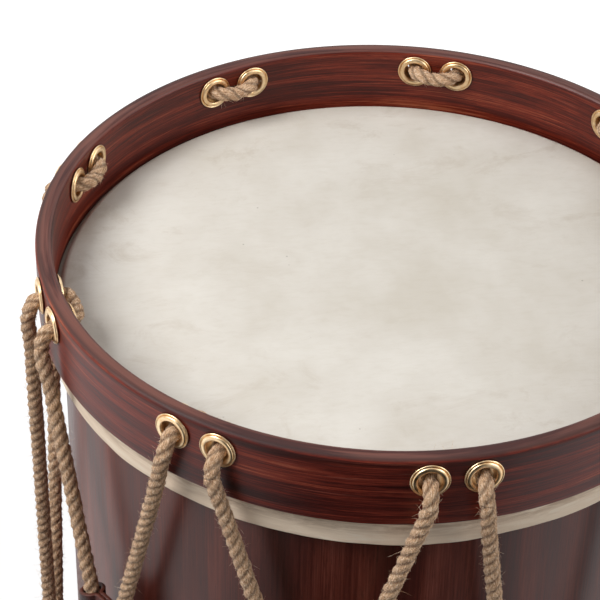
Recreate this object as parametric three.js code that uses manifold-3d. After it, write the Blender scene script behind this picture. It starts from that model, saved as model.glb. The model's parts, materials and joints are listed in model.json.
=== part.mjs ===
// Renaissance drum: a bent wooden shell with a skin head at each end, two wooden counterhoops
// with brass eyelets, one tension rope that zigzags between them, and a leather tug on each V
// of the rope. Millimetres and degrees, +Z up, origin on the floor on the drum's axis.
import * as THREE from 'three';
import { mergeVertices } from 'three/addons/utils/BufferGeometryUtils.js';
import Module from 'manifold-3d';

const wasm = await Module();
wasm.setup();

// Driving dimensions: shell
const SHELL_DEPTH = 355.6;
const SHELL_RADIUS = 177.5;
const SHELL_WALL = 7;
const BEARING_CREST_OUTER = 3;
const BEARING_CREST_WIDTH = 2;
const BEARING_ROUND_HEIGHT = 4.5;
const BEARING_CHAMFER_HEIGHT = 2.5;
const RING_THICKNESS = 4;
const RING_HEIGHT = 25;
const VENT_BORE_RADIUS = 3;
const VENT_FLANGE_RADIUS = 7.5;
const VENT_AZIMUTH = 310;

// Driving dimensions: skins and flesh hoops
const SKIN = 0.9;
const HEAD_RECESS = 36.5;
const SHOULDER_START = 2.3;
const SHOULDER_DROP = 2.4;
const SHOULDER_REACH = 0.7;
const LAP_CLEARANCE = 1.3;
const LAP_TUCK = 12;
const FLESH_HOOP_THICKNESS = 3.2;
const FLESH_HOOP_HEIGHT = 17;

// Driving dimensions: counterhoops
const HOOP_OVERHANG = 5.6;
const HOOP_WALL = 9;
const HOOP_HEIGHT = 42;
const RIM_ROUND = 3;

// Driving dimensions: eyelets
const PAIRS = 9;
const FULL_TURN = 360;
const QUARTER_TURN = 90;
const PAIR_HALF_SPREAD = 4;
const FIRST_PAIR_AZIMUTH = -90;
const EYELET_DEPTH = 12.5;
const ROPE_PLAY = 2;
const EYELET_BARREL = 0.7;
const EYELET_FLANGE_WIDTH = 4.1;
const EYELET_LIP_WIDTH = 1.6;
const EYELET_LIP_HEIGHT = 1.8;
const EYELET_MOUTH_HEIGHT = 0.5;

// Driving dimensions: rope and tugs
const ROPE_RADIUS = 4;
const ROPE_LIP_CLEARANCE = 0.9;
const ROPE_BEND_DROP = 12;
const LOOP_BEND_RADIUS = 6.5;
const LOOP_CLEARANCE = 4;
const KNOT_RADIUS = 8;
const KNOT_TAIL = 14;
const TUG_HEIGHT = 50;
const TUG_ARCH = 6;
const TUG_LEATHER = 2.4;
const TUG_CHANNEL_CLEARANCE = 0.9;
const TUG_WEB = 5;
const TUG_TOP_HALF_GAUGE = 13.2;
const TUG_FOOT_HALF_GAUGE = 11;
const TUG_LEAD_IN = 3;
const TUG_HOOP_CLEARANCE = 4;
const TUG_TRAVEL = 204;

// Where each tug stands at rest, as a share of its travel, from the first V round
const tugRestShares = [0.05, 0.8, 0.05, 0.83, 0.06, 0.78, 0.05, 0.801, 0.806];

// Where the bearing edge's rounding passes, as shares of its width and height
const roundOutShare = 0.4;
const roundDropShare = 0.38;

// The turns, in degrees, at which the rope's bends through an eyelet have their points
const bendTurns = [0, 45, 90];

// The V at the back, where the rope starts and ends in a knot at each of its foot eyelets
const KNOT_V = 4;

// Clearance between pieces that touch, and how far a cut runs past the material
const GAP = 0.3;
const OVERRUN = 2;

// Facets
const RING_SIDES = 48;
const EYELET_SIDES = 8;
const ROPE_SIDES = 8;
const TUG_SIDES = 10;
const KNOT_SIDES = 10;
const KNOT_RINGS = 7;

// Worked out from the driving dimensions
const HEAD_TO_SHELL = SKIN + GAP;
const HEIGHT = SHELL_DEPTH + 2 * (HEAD_RECESS + HEAD_TO_SHELL);
const HEAD_TOP = HEIGHT - HEAD_RECESS;
const SHELL_TOP = HEAD_TOP - HEAD_TO_SHELL;
const SHELL_BORE = SHELL_RADIUS - SHELL_WALL;
const LAP_INNER = SHELL_RADIUS + LAP_CLEARANCE;
const FLESH_INNER = LAP_INNER + SKIN + GAP;
const FLESH_OUTER = FLESH_INNER + FLESH_HOOP_THICKNESS;
const LAP_OUTER = FLESH_OUTER + GAP + SKIN;
const HOOP_RADIUS = LAP_OUTER + HOOP_OVERHANG;
const HOOP_BORE = HOOP_RADIUS - HOOP_WALL;
const HOOP_UNDERSIDE = HEIGHT - HOOP_HEIGHT;
const EYELET_BORE_RADIUS = ROPE_RADIUS + ROPE_PLAY;
const EYELET_BARREL_RADIUS = EYELET_BORE_RADIUS + EYELET_BARREL;
const EYELET_LIP_RADIUS = EYELET_BORE_RADIUS + EYELET_LIP_WIDTH;
const EYELET_FLANGE_RADIUS = EYELET_BORE_RADIUS + EYELET_FLANGE_WIDTH;
const LOOP_RADIUS = HOOP_BORE - LOOP_CLEARANCE - ROPE_RADIUS;
const TUG_LOWER_STOP = HOOP_HEIGHT + TUG_HOOP_CLEARANCE + TUG_HEIGHT;
const PAIR_PITCH = FULL_TURN / PAIRS;
const FACET_COSINE = Math.cos(Math.PI / RING_SIDES);

const radians = (degrees) => THREE.MathUtils.degToRad(degrees);

const finishes = {
  hoop: { color: 0x4a211b, roughness: 0.42, metalness: 0 },
  shell: { color: 0x4f2b27, roughness: 0.4, metalness: 0 },
  skin: { color: 0xddd6ca, roughness: 0.75, metalness: 0 },
  flesh: { color: 0xc7a678, roughness: 0.7, metalness: 0 },
  ring: { color: 0xb58a5a, roughness: 0.7, metalness: 0 },
  brass: { color: 0xd6b77a, roughness: 0.28, metalness: 1 },
  rope: { color: 0xb8956b, roughness: 0.95, metalness: 0 },
  leather: { color: 0x4a241c, roughness: 0.6, metalness: 0 },
};

// A mesh's signed volume: positive when its faces point out
function signedVolume(position, index) {
  const [a, b, c] = [new THREE.Vector3(), new THREE.Vector3(), new THREE.Vector3()];
  let volume = 0;
  for (let i = 0; i < index.length; i += 3) {
    a.fromBufferAttribute(position, index[i]);
    b.fromBufferAttribute(position, index[i + 1]);
    c.fromBufferAttribute(position, index[i + 2]);
    volume += a.dot(b.cross(c)) / 6;
  }
  return volume;
}

// One closed body: vertices merged, collapsed triangles dropped, faces pointing out
function closedBody(source) {
  const bare = source.clone();
  bare.deleteAttribute('normal');
  bare.deleteAttribute('uv');
  const merged = mergeVertices(bare);
  const kept = [];
  const old = merged.index.array;
  for (let i = 0; i < old.length; i += 3) {
    const [a, b, c] = [old[i], old[i + 1], old[i + 2]];
    if (a !== b && b !== c && c !== a) kept.push(a, b, c);
  }
  if (signedVolume(merged.attributes.position, kept) < 0) kept.reverse();
  merged.setIndex(kept);
  return merged;
}

function toSolid(geometry) {
  const body = closedBody(geometry);
  const vertProperties = new Float32Array(body.attributes.position.array);
  const triVerts = new Uint32Array(body.index.array);
  return new wasm.Manifold(new wasm.Mesh({ numProp: 3, vertProperties, triVerts }));
}

function toGeometry(solid) {
  const mesh = solid.getMesh();
  const geometry = new THREE.BufferGeometry();
  geometry.setAttribute('position', new THREE.BufferAttribute(mesh.vertProperties, mesh.numProp));
  geometry.setIndex(new THREE.BufferAttribute(mesh.triVerts, 1));
  return geometry;
}

// A profile of [radius, height] points turned about the Z axis
function turned(profile, sides) {
  const points = profile.map(([radius, height]) => new THREE.Vector2(radius, height));
  return closedBody(new THREE.LatheGeometry(points, sides).rotateX(Math.PI / 2));
}

const closed = (profile) => [...profile, profile[0]];

// The same profile at the drum's other end
const upsideDown = (profile) => profile.map(([radius, height]) => [radius, HEIGHT - height]);

const drum = new THREE.Group();
drum.name = 'renaissance_drum';

function addPiece(name, geometry, finish, parent = drum) {
  const piece = new THREE.Mesh(geometry, new THREE.MeshStandardMaterial(finishes[finish]));
  piece.name = name;
  parent.add(piece);
  return piece;
}

// A round rod or bore along the radius at an azimuth
function radialRod(radius, length, azimuth, distance, height, sides) {
  const rod = new THREE.CylinderGeometry(radius, radius, length, sides);
  rod.rotateZ(-Math.PI / 2);
  rod.translate(distance, 0, height);
  rod.rotateZ(radians(azimuth));
  return rod;
}

// An eyelet set in a wall: a barrel with a flange and a raised lip on each face, along +X
function eyeletGeometry(bore, barrel, lip, flange, innerFace, outerFace) {
  const profile = [
    [bore, outerFace + EYELET_MOUTH_HEIGHT],
    [bore, innerFace - EYELET_MOUTH_HEIGHT],
    [lip, innerFace - EYELET_LIP_HEIGHT],
    [flange, innerFace],
    [barrel, innerFace],
    [barrel, outerFace],
    [flange, outerFace],
    [lip, outerFace + EYELET_LIP_HEIGHT],
  ];
  return turned(closed(profile), EYELET_SIDES).rotateY(Math.PI / 2).rotateX(Math.PI / 2);
}

// The distance of a flat flange that lies inside a round bore without touching its wall
const insideFlangeDistance = (boreRadius, flange) =>
  Math.sqrt((boreRadius * FACET_COSINE) ** 2 - flange ** 2) - GAP;

// Eyelet places: a pair of azimuths about each pair's centre
const pairAzimuth = (pair) => FIRST_PAIR_AZIMUTH + pair * PAIR_PITCH;
const vAzimuth = (v) => pairAzimuth(v) + PAIR_PITCH / 2;
const topEyeletHeight = HEIGHT - EYELET_DEPTH;
const footEyeletHeight = EYELET_DEPTH;

// Shell: rounded outside and chamfered inside of the bearing edge, with a vent hole
function buildShell() {
  const crestOuter = SHELL_RADIUS - BEARING_CREST_OUTER;
  const crestInner = crestOuter - BEARING_CREST_WIDTH;
  const roundRadius = SHELL_RADIUS - BEARING_CREST_OUTER * roundOutShare;
  const roundDrop = BEARING_ROUND_HEIGHT * roundDropShare;
  const upper = [
    [SHELL_RADIUS, SHELL_TOP - BEARING_ROUND_HEIGHT],
    [roundRadius, SHELL_TOP - roundDrop],
    [crestOuter, SHELL_TOP],
    [crestInner, SHELL_TOP],
    [SHELL_BORE, SHELL_TOP - BEARING_CHAMFER_HEIGHT],
  ];
  const profile = [...upper, ...upsideDown(upper).reverse()];
  const shell = toSolid(turned(closed(profile), RING_SIDES));
  const boreLength = SHELL_WALL + 2 * OVERRUN;
  const middle = SHELL_RADIUS - SHELL_WALL / 2;
  const holeRadius = VENT_BORE_RADIUS + EYELET_BARREL + GAP;
  const hole = radialRod(holeRadius, boreLength, VENT_AZIMUTH, middle, HEIGHT / 2, EYELET_SIDES);
  addPiece('shell', toGeometry(shell.subtract(toSolid(hole))), 'shell');

  const lip = VENT_BORE_RADIUS + EYELET_LIP_WIDTH;
  const innerFace = insideFlangeDistance(SHELL_BORE, VENT_FLANGE_RADIUS);
  const barrel = VENT_BORE_RADIUS + EYELET_BARREL;
  const sizes = [VENT_BORE_RADIUS, barrel, lip, VENT_FLANGE_RADIUS, innerFace, SHELL_RADIUS + GAP];
  const vent = addPiece('vent_eyelet', eyeletGeometry(...sizes), 'brass');
  vent.position.z = HEIGHT / 2;
  vent.rotation.z = radians(VENT_AZIMUTH);
}

// Reinforcing rings inside the shell, behind its bearing edges
function buildReinforcingRings() {
  const outer = SHELL_BORE - GAP;
  const inner = outer - RING_THICKNESS;
  const top = SHELL_TOP - BEARING_CHAMFER_HEIGHT;
  const profile = [[outer, top], [inner, top], [inner, top - RING_HEIGHT], [outer, top - RING_HEIGHT]];
  addPiece('top_reinforcing_ring', turned(closed(profile), RING_SIDES), 'ring');
  addPiece('bottom_reinforcing_ring', turned(closed(upsideDown(profile)), RING_SIDES), 'ring');
}

// Lap: the skin runs over the flesh hoop, down its outside, under it and up inside it
const lapTop = HOOP_UNDERSIDE - GAP;
const fleshTop = lapTop - SKIN - GAP;
const fleshFoot = fleshTop - FLESH_HOOP_HEIGHT;
const lapFoot = fleshFoot - GAP - SKIN;

function buildHeads() {
  const shoulder = SHELL_RADIUS - SHOULDER_START;
  const edge = SHELL_RADIUS + SHOULDER_REACH;
  const lapStart = LAP_INNER + SKIN + SKIN / 2;
  const profile = [
    [0, HEAD_TOP],
    [shoulder, HEAD_TOP],
    [edge, HEAD_TOP - SHOULDER_DROP],
    [lapStart, lapTop],
    [LAP_OUTER, lapTop],
    [LAP_OUTER, lapFoot],
    [LAP_INNER, lapFoot],
    [LAP_INNER, lapFoot + LAP_TUCK],
    [LAP_INNER + SKIN, lapFoot + LAP_TUCK],
    [LAP_INNER + SKIN, lapFoot + SKIN],
    [LAP_OUTER - SKIN, lapFoot + SKIN],
    [LAP_OUTER - SKIN, lapTop - SKIN],
    [lapStart - SKIN / 2, lapTop - SKIN],
    [edge - SKIN, HEAD_TOP - SHOULDER_DROP - SKIN / 2],
    [shoulder - SKIN / 2, HEAD_TOP - SKIN],
    [0, HEAD_TOP - SKIN],
  ];
  addPiece('batter_head', turned(profile, RING_SIDES), 'skin');
  addPiece('bottom_head', turned(upsideDown(profile), RING_SIDES), 'skin');
}

function buildFleshHoops() {
  const profile = [
    [FLESH_OUTER, fleshTop],
    [FLESH_INNER, fleshTop],
    [FLESH_INNER, fleshFoot],
    [FLESH_OUTER, fleshFoot],
  ];
  addPiece('top_flesh_hoop', turned(closed(profile), RING_SIDES), 'flesh');
  addPiece('bottom_flesh_hoop', turned(closed(upsideDown(profile)), RING_SIDES), 'flesh');
}

// A counterhoop: a rounded rim, a square lower edge and a pair of holes at each pair of eyelets
function counterhoop(profile, eyeletHeight, azimuths) {
  const holeRadius = EYELET_BARREL_RADIUS + GAP;
  const length = HOOP_WALL + 2 * OVERRUN;
  const middle = HOOP_RADIUS - HOOP_WALL / 2;
  let hoop = toSolid(turned(closed(profile), RING_SIDES));
  for (const azimuth of azimuths) {
    const hole = radialRod(holeRadius, length, azimuth, middle, eyeletHeight, EYELET_SIDES);
    hoop = hoop.subtract(toSolid(hole));
  }
  return toGeometry(hoop);
}

function buildCounterhoops() {
  const corner = RIM_ROUND * (1 - Math.SQRT1_2);
  const profile = [
    [HOOP_RADIUS, HOOP_UNDERSIDE],
    [HOOP_RADIUS, HEIGHT - RIM_ROUND],
    [HOOP_RADIUS - corner, HEIGHT - corner],
    [HOOP_RADIUS - RIM_ROUND, HEIGHT],
    [HOOP_BORE + RIM_ROUND, HEIGHT],
    [HOOP_BORE + corner, HEIGHT - corner],
    [HOOP_BORE, HEIGHT - RIM_ROUND],
    [HOOP_BORE, HOOP_UNDERSIDE],
  ];
  const bothOf = (centre) => [centre - PAIR_HALF_SPREAD, centre + PAIR_HALF_SPREAD];
  const numbers = [...Array(PAIRS).keys()];
  const ends = [
    ['top', profile, topEyeletHeight, numbers.flatMap((n) => bothOf(pairAzimuth(n)))],
    ['bottom', upsideDown(profile), footEyeletHeight, numbers.flatMap((n) => bothOf(vAzimuth(n)))],
  ];
  const innerFace = insideFlangeDistance(HOOP_BORE, EYELET_FLANGE_RADIUS);
  const outerFace = HOOP_RADIUS + GAP;
  const sizes = [EYELET_BORE_RADIUS, EYELET_BARREL_RADIUS, EYELET_LIP_RADIUS, EYELET_FLANGE_RADIUS];
  const eyelet = eyeletGeometry(...sizes, innerFace, outerFace);
  for (const [end, outline, height, azimuths] of ends) {
    addPiece(`${end}_counterhoop`, counterhoop(outline, height, azimuths), 'hoop');
    azimuths.forEach((azimuth, place) => {
      const number = String(place + 1).padStart(2, '0');
      const piece = addPiece(`${end}_eyelet_${number}`, eyelet, 'brass');
      piece.position.z = height;
      piece.rotation.z = radians(azimuth);
    });
  }
}

// The plane of a V: the two rope legs lie in it, and the tug slides in it
const ropeRadius = HOOP_RADIUS + GAP + EYELET_LIP_HEIGHT + ROPE_LIP_CLEARANCE + ROPE_RADIUS;
const legTopHeight = topEyeletHeight - ROPE_BEND_DROP;
const legFootHeight = footEyeletHeight + ROPE_BEND_DROP;
const topHalfSpread = PAIR_PITCH / 2 - PAIR_HALF_SPREAD;
const planeAtTop = ropeRadius * Math.cos(radians(topHalfSpread));
const planeAtFoot = ropeRadius * Math.cos(radians(PAIR_HALF_SPREAD));
const planeSlope = (planeAtTop - planeAtFoot) / (legTopHeight - legFootHeight);
const planeTilt = Math.atan(planeSlope);
const planeDistance = (height) => planeAtFoot + planeSlope * (height - legFootHeight);

// The height of a tug's top edge at rest
const tugTopHeight = (v) => TUG_LOWER_STOP + TUG_TRAVEL * tugRestShares[v];

function polar(radius, azimuth, height) {
  const angle = radians(azimuth);
  return new THREE.Vector3(radius * Math.cos(angle), radius * Math.sin(angle), height);
}

// A point in a V's plane: sideways from the V's middle line, at a height
function inPlane(v, sideways, height) {
  const point = new THREE.Vector3(planeDistance(height), sideways, height);
  return point.applyAxisAngle(new THREE.Vector3(0, 0, 1), radians(vAzimuth(v)));
}

// The rope through one eyelet, from inside the hoop to the start of its leg outside.
// toPartner is +1 or -1, the way round to the pair's other eyelet; down is -1 for a top eyelet.
function throughEyelet(azimuth, toPartner, height, down) {
  const bendStart = LOOP_RADIUS + LOOP_BEND_RADIUS;
  const points = [];
  for (const turn of [...bendTurns].reverse()) {
    const radius = bendStart - LOOP_BEND_RADIUS * Math.sin(radians(turn));
    const sideways = toPartner * LOOP_BEND_RADIUS * (1 - Math.cos(radians(turn)));
    const shift = THREE.MathUtils.radToDeg(sideways / radius);
    points.push(polar(radius, azimuth + shift, height));
  }
  const reach = ropeRadius - HOOP_RADIUS;
  for (const turn of bendTurns) {
    const radius = HOOP_RADIUS + reach * Math.sin(radians(turn));
    const fall = down * ROPE_BEND_DROP * (1 - Math.cos(radians(turn)));
    points.push(polar(radius, azimuth, height + fall));
  }
  return points;
}

// One leg of a V, from its top eyelet to its foot eyelet; side is -1 left or +1 right
function leg(v, side) {
  const topAzimuth = vAzimuth(v) + side * topHalfSpread;
  const footAzimuth = vAzimuth(v) + side * PAIR_HALF_SPREAD;
  const tugTop = tugTopHeight(v);
  const tugFoot = tugTop - TUG_HEIGHT;
  return [
    ...throughEyelet(topAzimuth, side, topEyeletHeight, -1),
    inPlane(v, side * TUG_TOP_HALF_GAUGE, tugTop + TUG_LEAD_IN),
    inPlane(v, side * TUG_FOOT_HALF_GAUGE, tugFoot - TUG_LEAD_IN),
    ...throughEyelet(footAzimuth, -side, footEyeletHeight, 1).reverse(),
  ];
}

// The rope's whole route: up from the knotted pair, once round the drum and down to it again
function ropeRoute() {
  const points = leg(KNOT_V, 1).reverse();
  for (let step = 1; step < PAIRS; step += 1) {
    const v = (KNOT_V + step) % PAIRS;
    points.push(...leg(v, -1), ...leg(v, 1).reverse());
  }
  points.push(...leg(KNOT_V, -1));
  return points;
}

// A curve that is stepped from point to point of its route, however far apart they lie
class RopeCurve extends THREE.CatmullRomCurve3 {
  getUtoTmapping(u) {
    return u;
  }
}

function buildRope() {
  const flangeDistance = insideFlangeDistance(HOOP_BORE, EYELET_FLANGE_RADIUS);
  const knotDistance = flangeDistance - EYELET_LIP_HEIGHT - GAP - KNOT_RADIUS;
  const atKnot = (side, distance) =>
    polar(distance, vAzimuth(KNOT_V) + side * PAIR_HALF_SPREAD, footEyeletHeight);
  // A straight tail through the knot replaces the bend towards a partner eyelet
  const bent = bendTurns.length - 1;
  const route = ropeRoute().slice(bent, -bent);
  const tail = knotDistance - KNOT_TAIL;
  const points = [atKnot(1, tail), ...route, atKnot(-1, tail)];
  const section = new THREE.Shape();
  for (let corner = 0; corner < ROPE_SIDES; corner += 1) {
    const angle = radians(FULL_TURN * corner / ROPE_SIDES);
    const x = ROPE_RADIUS * Math.cos(angle);
    const y = ROPE_RADIUS * Math.sin(angle);
    if (corner === 0) section.moveTo(x, y);
    else section.lineTo(x, y);
  }
  const path = new RopeCurve(points, false, 'centripetal');
  const options = { steps: points.length - 1, extrudePath: path, bevelEnabled: false };
  let rope = toSolid(new THREE.ExtrudeGeometry(section, options));
  for (const side of [-1, 1]) {
    const knot = new THREE.SphereGeometry(KNOT_RADIUS, KNOT_SIDES, KNOT_RINGS);
    const centre = atKnot(side, knotDistance);
    rope = rope.add(toSolid(knot.translate(centre.x, centre.y, centre.z)));
  }
  addPiece('tension_rope', toGeometry(rope), 'rope');
}

// A tug: leather folded round the two legs of a V and closed between them, its top edge arched.
// Its own frame has X sideways, Y outwards and Z up the V's plane, from the middle of its height.
function tugGeometry() {
  const half = TUG_HEIGHT / 2;
  const channel = ROPE_RADIUS + TUG_CHANNEL_CLEARANCE;
  const outer = channel + TUG_LEATHER;
  const gaugeSlope = (TUG_TOP_HALF_GAUGE - TUG_FOOT_HALF_GAUGE) / (TUG_HEIGHT + 2 * TUG_LEAD_IN);
  const middleGauge = (TUG_TOP_HALF_GAUGE + TUG_FOOT_HALF_GAUGE) / 2;
  const long = TUG_HEIGHT + 2 * (TUG_ARCH + OVERRUN);
  const sleeve = (side, radius, length) => {
    const rod = new THREE.CylinderGeometry(radius, radius, length, TUG_SIDES);
    rod.rotateX(Math.PI / 2).rotateY(side * Math.atan(gaugeSlope));
    return toSolid(rod.translate(side * middleGauge, 0, 0));
  };
  const web = new THREE.BoxGeometry(2 * middleGauge, TUG_WEB, long);
  const outline = new THREE.Shape();
  const footEdge = middleGauge - gaugeSlope * half + outer;
  const topEdge = middleGauge + gaugeSlope * half + outer;
  outline.moveTo(-footEdge - OVERRUN, -half);
  outline.lineTo(footEdge + OVERRUN, -half);
  outline.lineTo(topEdge + OVERRUN, half);
  outline.lineTo(TUG_TOP_HALF_GAUGE / 2, half + TUG_ARCH);
  outline.lineTo(-TUG_TOP_HALF_GAUGE / 2, half + TUG_ARCH);
  outline.lineTo(-topEdge - OVERRUN, half);
  outline.closePath();
  const depth = 2 * (outer + OVERRUN);
  const slab = new THREE.ExtrudeGeometry(outline, { depth, bevelEnabled: false });
  slab.translate(0, 0, -depth / 2).rotateX(Math.PI / 2);
  let tug = toSolid(web).add(sleeve(-1, outer, long)).add(sleeve(1, outer, long));
  tug = tug.intersect(toSolid(slab));
  tug = tug.subtract(sleeve(-1, channel, 2 * long)).subtract(sleeve(1, channel, 2 * long));
  return toGeometry(tug);
}

function buildTugs() {
  const geometry = tugGeometry();
  for (let v = 0; v < PAIRS; v += 1) {
    const height = tugTopHeight(v) - TUG_HEIGHT / 2;
    const facing = new THREE.Group();
    facing.rotation.z = radians(vAzimuth(v) - QUARTER_TURN);
    const tug = addPiece(`tension_tug_${v + 1}`, geometry, 'leather', facing);
    tug.position.set(0, planeDistance(height), height);
    tug.rotation.x = -planeTilt;
    drum.add(facing);
  }
}

buildShell();
buildReinforcingRings();
buildHeads();
buildFleshHoops();
buildCounterhoops();
buildRope();
buildTugs();

export default drum;
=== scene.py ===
import itertools
import json
import math
from functools import partial

import bpy
import numpy as np
from mathutils import Matrix, Vector


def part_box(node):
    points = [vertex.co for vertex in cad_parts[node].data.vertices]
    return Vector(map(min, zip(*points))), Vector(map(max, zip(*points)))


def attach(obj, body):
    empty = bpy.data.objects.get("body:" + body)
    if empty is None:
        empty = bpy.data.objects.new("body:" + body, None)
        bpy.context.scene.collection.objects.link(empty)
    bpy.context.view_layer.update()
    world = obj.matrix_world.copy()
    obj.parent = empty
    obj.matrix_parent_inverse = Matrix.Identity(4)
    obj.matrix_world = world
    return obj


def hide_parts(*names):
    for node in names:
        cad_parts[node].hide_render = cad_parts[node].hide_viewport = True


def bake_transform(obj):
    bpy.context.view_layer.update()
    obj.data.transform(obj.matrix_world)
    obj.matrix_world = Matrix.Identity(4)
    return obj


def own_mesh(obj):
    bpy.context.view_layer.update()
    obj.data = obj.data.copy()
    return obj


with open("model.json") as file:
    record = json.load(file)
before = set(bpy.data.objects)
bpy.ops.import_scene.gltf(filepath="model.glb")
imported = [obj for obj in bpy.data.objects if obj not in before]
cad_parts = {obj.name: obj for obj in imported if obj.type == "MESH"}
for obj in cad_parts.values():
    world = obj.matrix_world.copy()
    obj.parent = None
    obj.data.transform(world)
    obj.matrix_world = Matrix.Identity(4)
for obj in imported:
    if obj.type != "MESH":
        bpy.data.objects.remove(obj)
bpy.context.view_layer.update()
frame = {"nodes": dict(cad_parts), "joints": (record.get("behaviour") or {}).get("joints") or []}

# Renaissance drum: stained wooden shell and counterhoops, skin heads, brass eyelets, one laid
# jute rope that zigzags between the hoops, and a leather tug on each V of the rope.
# Lengths are in metres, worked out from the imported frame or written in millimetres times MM.
MM = 0.001

# From the frame
HOOP_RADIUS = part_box("top_counterhoop")[1].x
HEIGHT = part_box("top_counterhoop")[1].z
HOOP_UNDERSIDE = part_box("top_counterhoop")[0].z
SHELL_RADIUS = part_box("shell")[1].x
SHELL_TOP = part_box("shell")[1].z
LAP_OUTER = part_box("batter_head")[1].x
LAP_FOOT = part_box("batter_head")[0].z
HEAD_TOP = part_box("batter_head")[1].z
EYELET_DEPTH = HEIGHT - (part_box("top_eyelet_01")[0].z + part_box("top_eyelet_01")[1].z) / 2

# Shell and hoops
SHELL_WALL = 7 * MM
SHELL_CREST = 3 * MM
SHELL_EDGE_ROUND = 4.5 * MM
SHELL_FLAT = 2 * MM
SHELL_CHAMFER = 2.5 * MM
SHELL_PLAIN_WALL = 30 * MM
SHELL_WAVES = (2, 3, 5), (0.12 * MM, 0.08 * MM, 0.05 * MM)
HOOP_WALL = 9 * MM
RIM_ROUND = 2.4 * MM
HOOP_FOOT_ROUND = 0.9 * MM
HOOP_BORE = HOOP_RADIUS - HOOP_WALL
HOLE_RADIUS = 7 * MM
HOLE_SIDES = 40
LATHE_SIDES = 360

# Skins
SKIN = 0.9 * MM
SHOULDER_DROP = 2.6 * MM
SHOULDER_WIDTH = 2.6 * MM
SHOULDER_REACH = 0.6 * MM
LAP_INNER = SHELL_RADIUS + 1.3 * MM
LAP_TUCK = 12 * MM
LAP_TOP = HOOP_UNDERSIDE - 0.3 * MM
LAP_ROUND = 1.6 * MM
LAP_REACH = 2 * MM
LAP_SET_BACK = 0.25 * MM
# Waves round the drum: how many of each, and their sizes; the lap's swells also slant with height
LAP_TURN_PER_METRE = 40
FOOT_WAVES = (2, 3, 7, 13, 29), (0.7 * MM, 0.5 * MM, 0.35 * MM, 0.25 * MM, 0.12 * MM)
SWELL_WAVES = (11, 19, 37, 61), (0.1 * MM, 0.1 * MM, 0.07 * MM, 0.05 * MM)

# Eyelets
PAIRS = 9
PAIR_HALF_SPREAD = 4
FIRST_PAIR_AZIMUTH = -90
PAIR_PITCH = 360 / PAIRS
EYELET_BORE = 6 * MM
EYELET_BARREL = 6.7 * MM
EYELET_FLANGE = 10.1 * MM
EYELET_LIP_HEIGHT = 1.8 * MM
EYELET_BEAD = 0.45 * MM
EYELET_GROOVE = 1.05 * MM
EYELET_DOME_POWER = 2.6
EYELET_SIDES = 48
TOP_ROW = HEIGHT - EYELET_DEPTH
BOTTOM_ROW = EYELET_DEPTH
VENT_BORE = 3 * MM
VENT_BARREL = VENT_BORE + EYELET_BARREL - EYELET_BORE
VENT_FLANGE = 7.5 * MM
VENT_AZIMUTH = 310
FLANGE_GAP = 0.3 * MM

# Rope
ROPE_RADIUS = 4 * MM
ROPE_LAY = 20.5 * MM
ROPE_REACH = 7 * MM
ROPE_BEND_DROP = 12 * MM
ROPE_BULGE = 1.2 * MM
ROPE_BULGE_LENGTH = 16 * MM
ROPE_SEAT = 1.5 * MM
LOOP_RADIUS = 175 * MM
LOOP_BEND = 6.5 * MM
LOOP_SAG = 1.6 * MM
LEG_STEP = 1 * MM
KNEE_SOFTNESS = 5 * MM
KNOT_V = 4
KNOT_GAP = 8 * MM
KNOT_LENGTH = 16.5 * MM
KNOT_TURNS = 2.5
KNOT_WIDTH = 7.2 * MM
KNOT_HEIGHT_SHARE = 0.95
KNOT_EASE_SHARE = 0.16
KNOT_TAIL = 7 * MM
SAME_PLACE = 0.0001 * MM
ROUTE_STEP = 0.4 * MM
ROUTE_SOFTNESS = 2.2 * MM
RING_STEP = 1.15 * MM
ROPE_SIDES = 30

# Tugs
TUG_HEIGHT = 50 * MM
TUG_ARCH = 6 * MM
TUG_LEATHER = 2.4 * MM
TUG_TOP_GAUGE = 13.2 * MM
TUG_FOOT_GAUGE = 11 * MM
TUG_LEAD_IN = 3 * MM
TUG_SLEEVE = ROPE_RADIUS + 0.9 * MM
TUG_FILLET = 2.5 * MM
TUG_EDGE_ROUND = 0.6 * MM
TUG_ARCH_REACH = 7 * MM
TUG_ARCH_POWER = 0.8
TUG_ROWS = 26
WEB_GAP = 0.1 * MM
STITCHES = 9
STITCH_PITCH = 5 * MM
STITCH_LENGTH = 3.6 * MM
STITCH_RADIUS = 0.45 * MM
STITCH_START = 3.5 * MM
STITCH_INSET = 9.1 * MM
STITCH_BOW = 0.25 * MM
STITCH_SINK = 0.15 * MM
STITCH_END_SHARE = 0.35
STITCH_STEPS = 7
STITCH_SIDES = 8

# Camera, fitted to the photograph: its 600 pixels are a 36 mm sensor
SENSOR = 36
PHOTO_SIZE_PX = 600
CAMERA_LENS = 139.92
CAMERA_DISTANCE = 1266.43 * MM
CAMERA_AZIMUTH = 257.8
CAMERA_ELEVATION = 35.937
CAMERA_ROLL = 2.924
RIM_CENTRE_OFFSET_PX = (86.92, 72.52)
CLIP_NEAR, CLIP_FAR = 0.05, 50

rng = np.random.default_rng(7)


# Node and material helpers

def linear(code):
    """An sRGB hex colour as linear red, green, blue and alpha."""
    channels = [int(code[i:i + 2], 16) / 255 for i in (1, 3, 5)]
    return tuple(c / 12.92 if c <= 0.04045 else ((c + 0.055) / 1.055) ** 2.4 for c in channels) + (1.0,)


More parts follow.
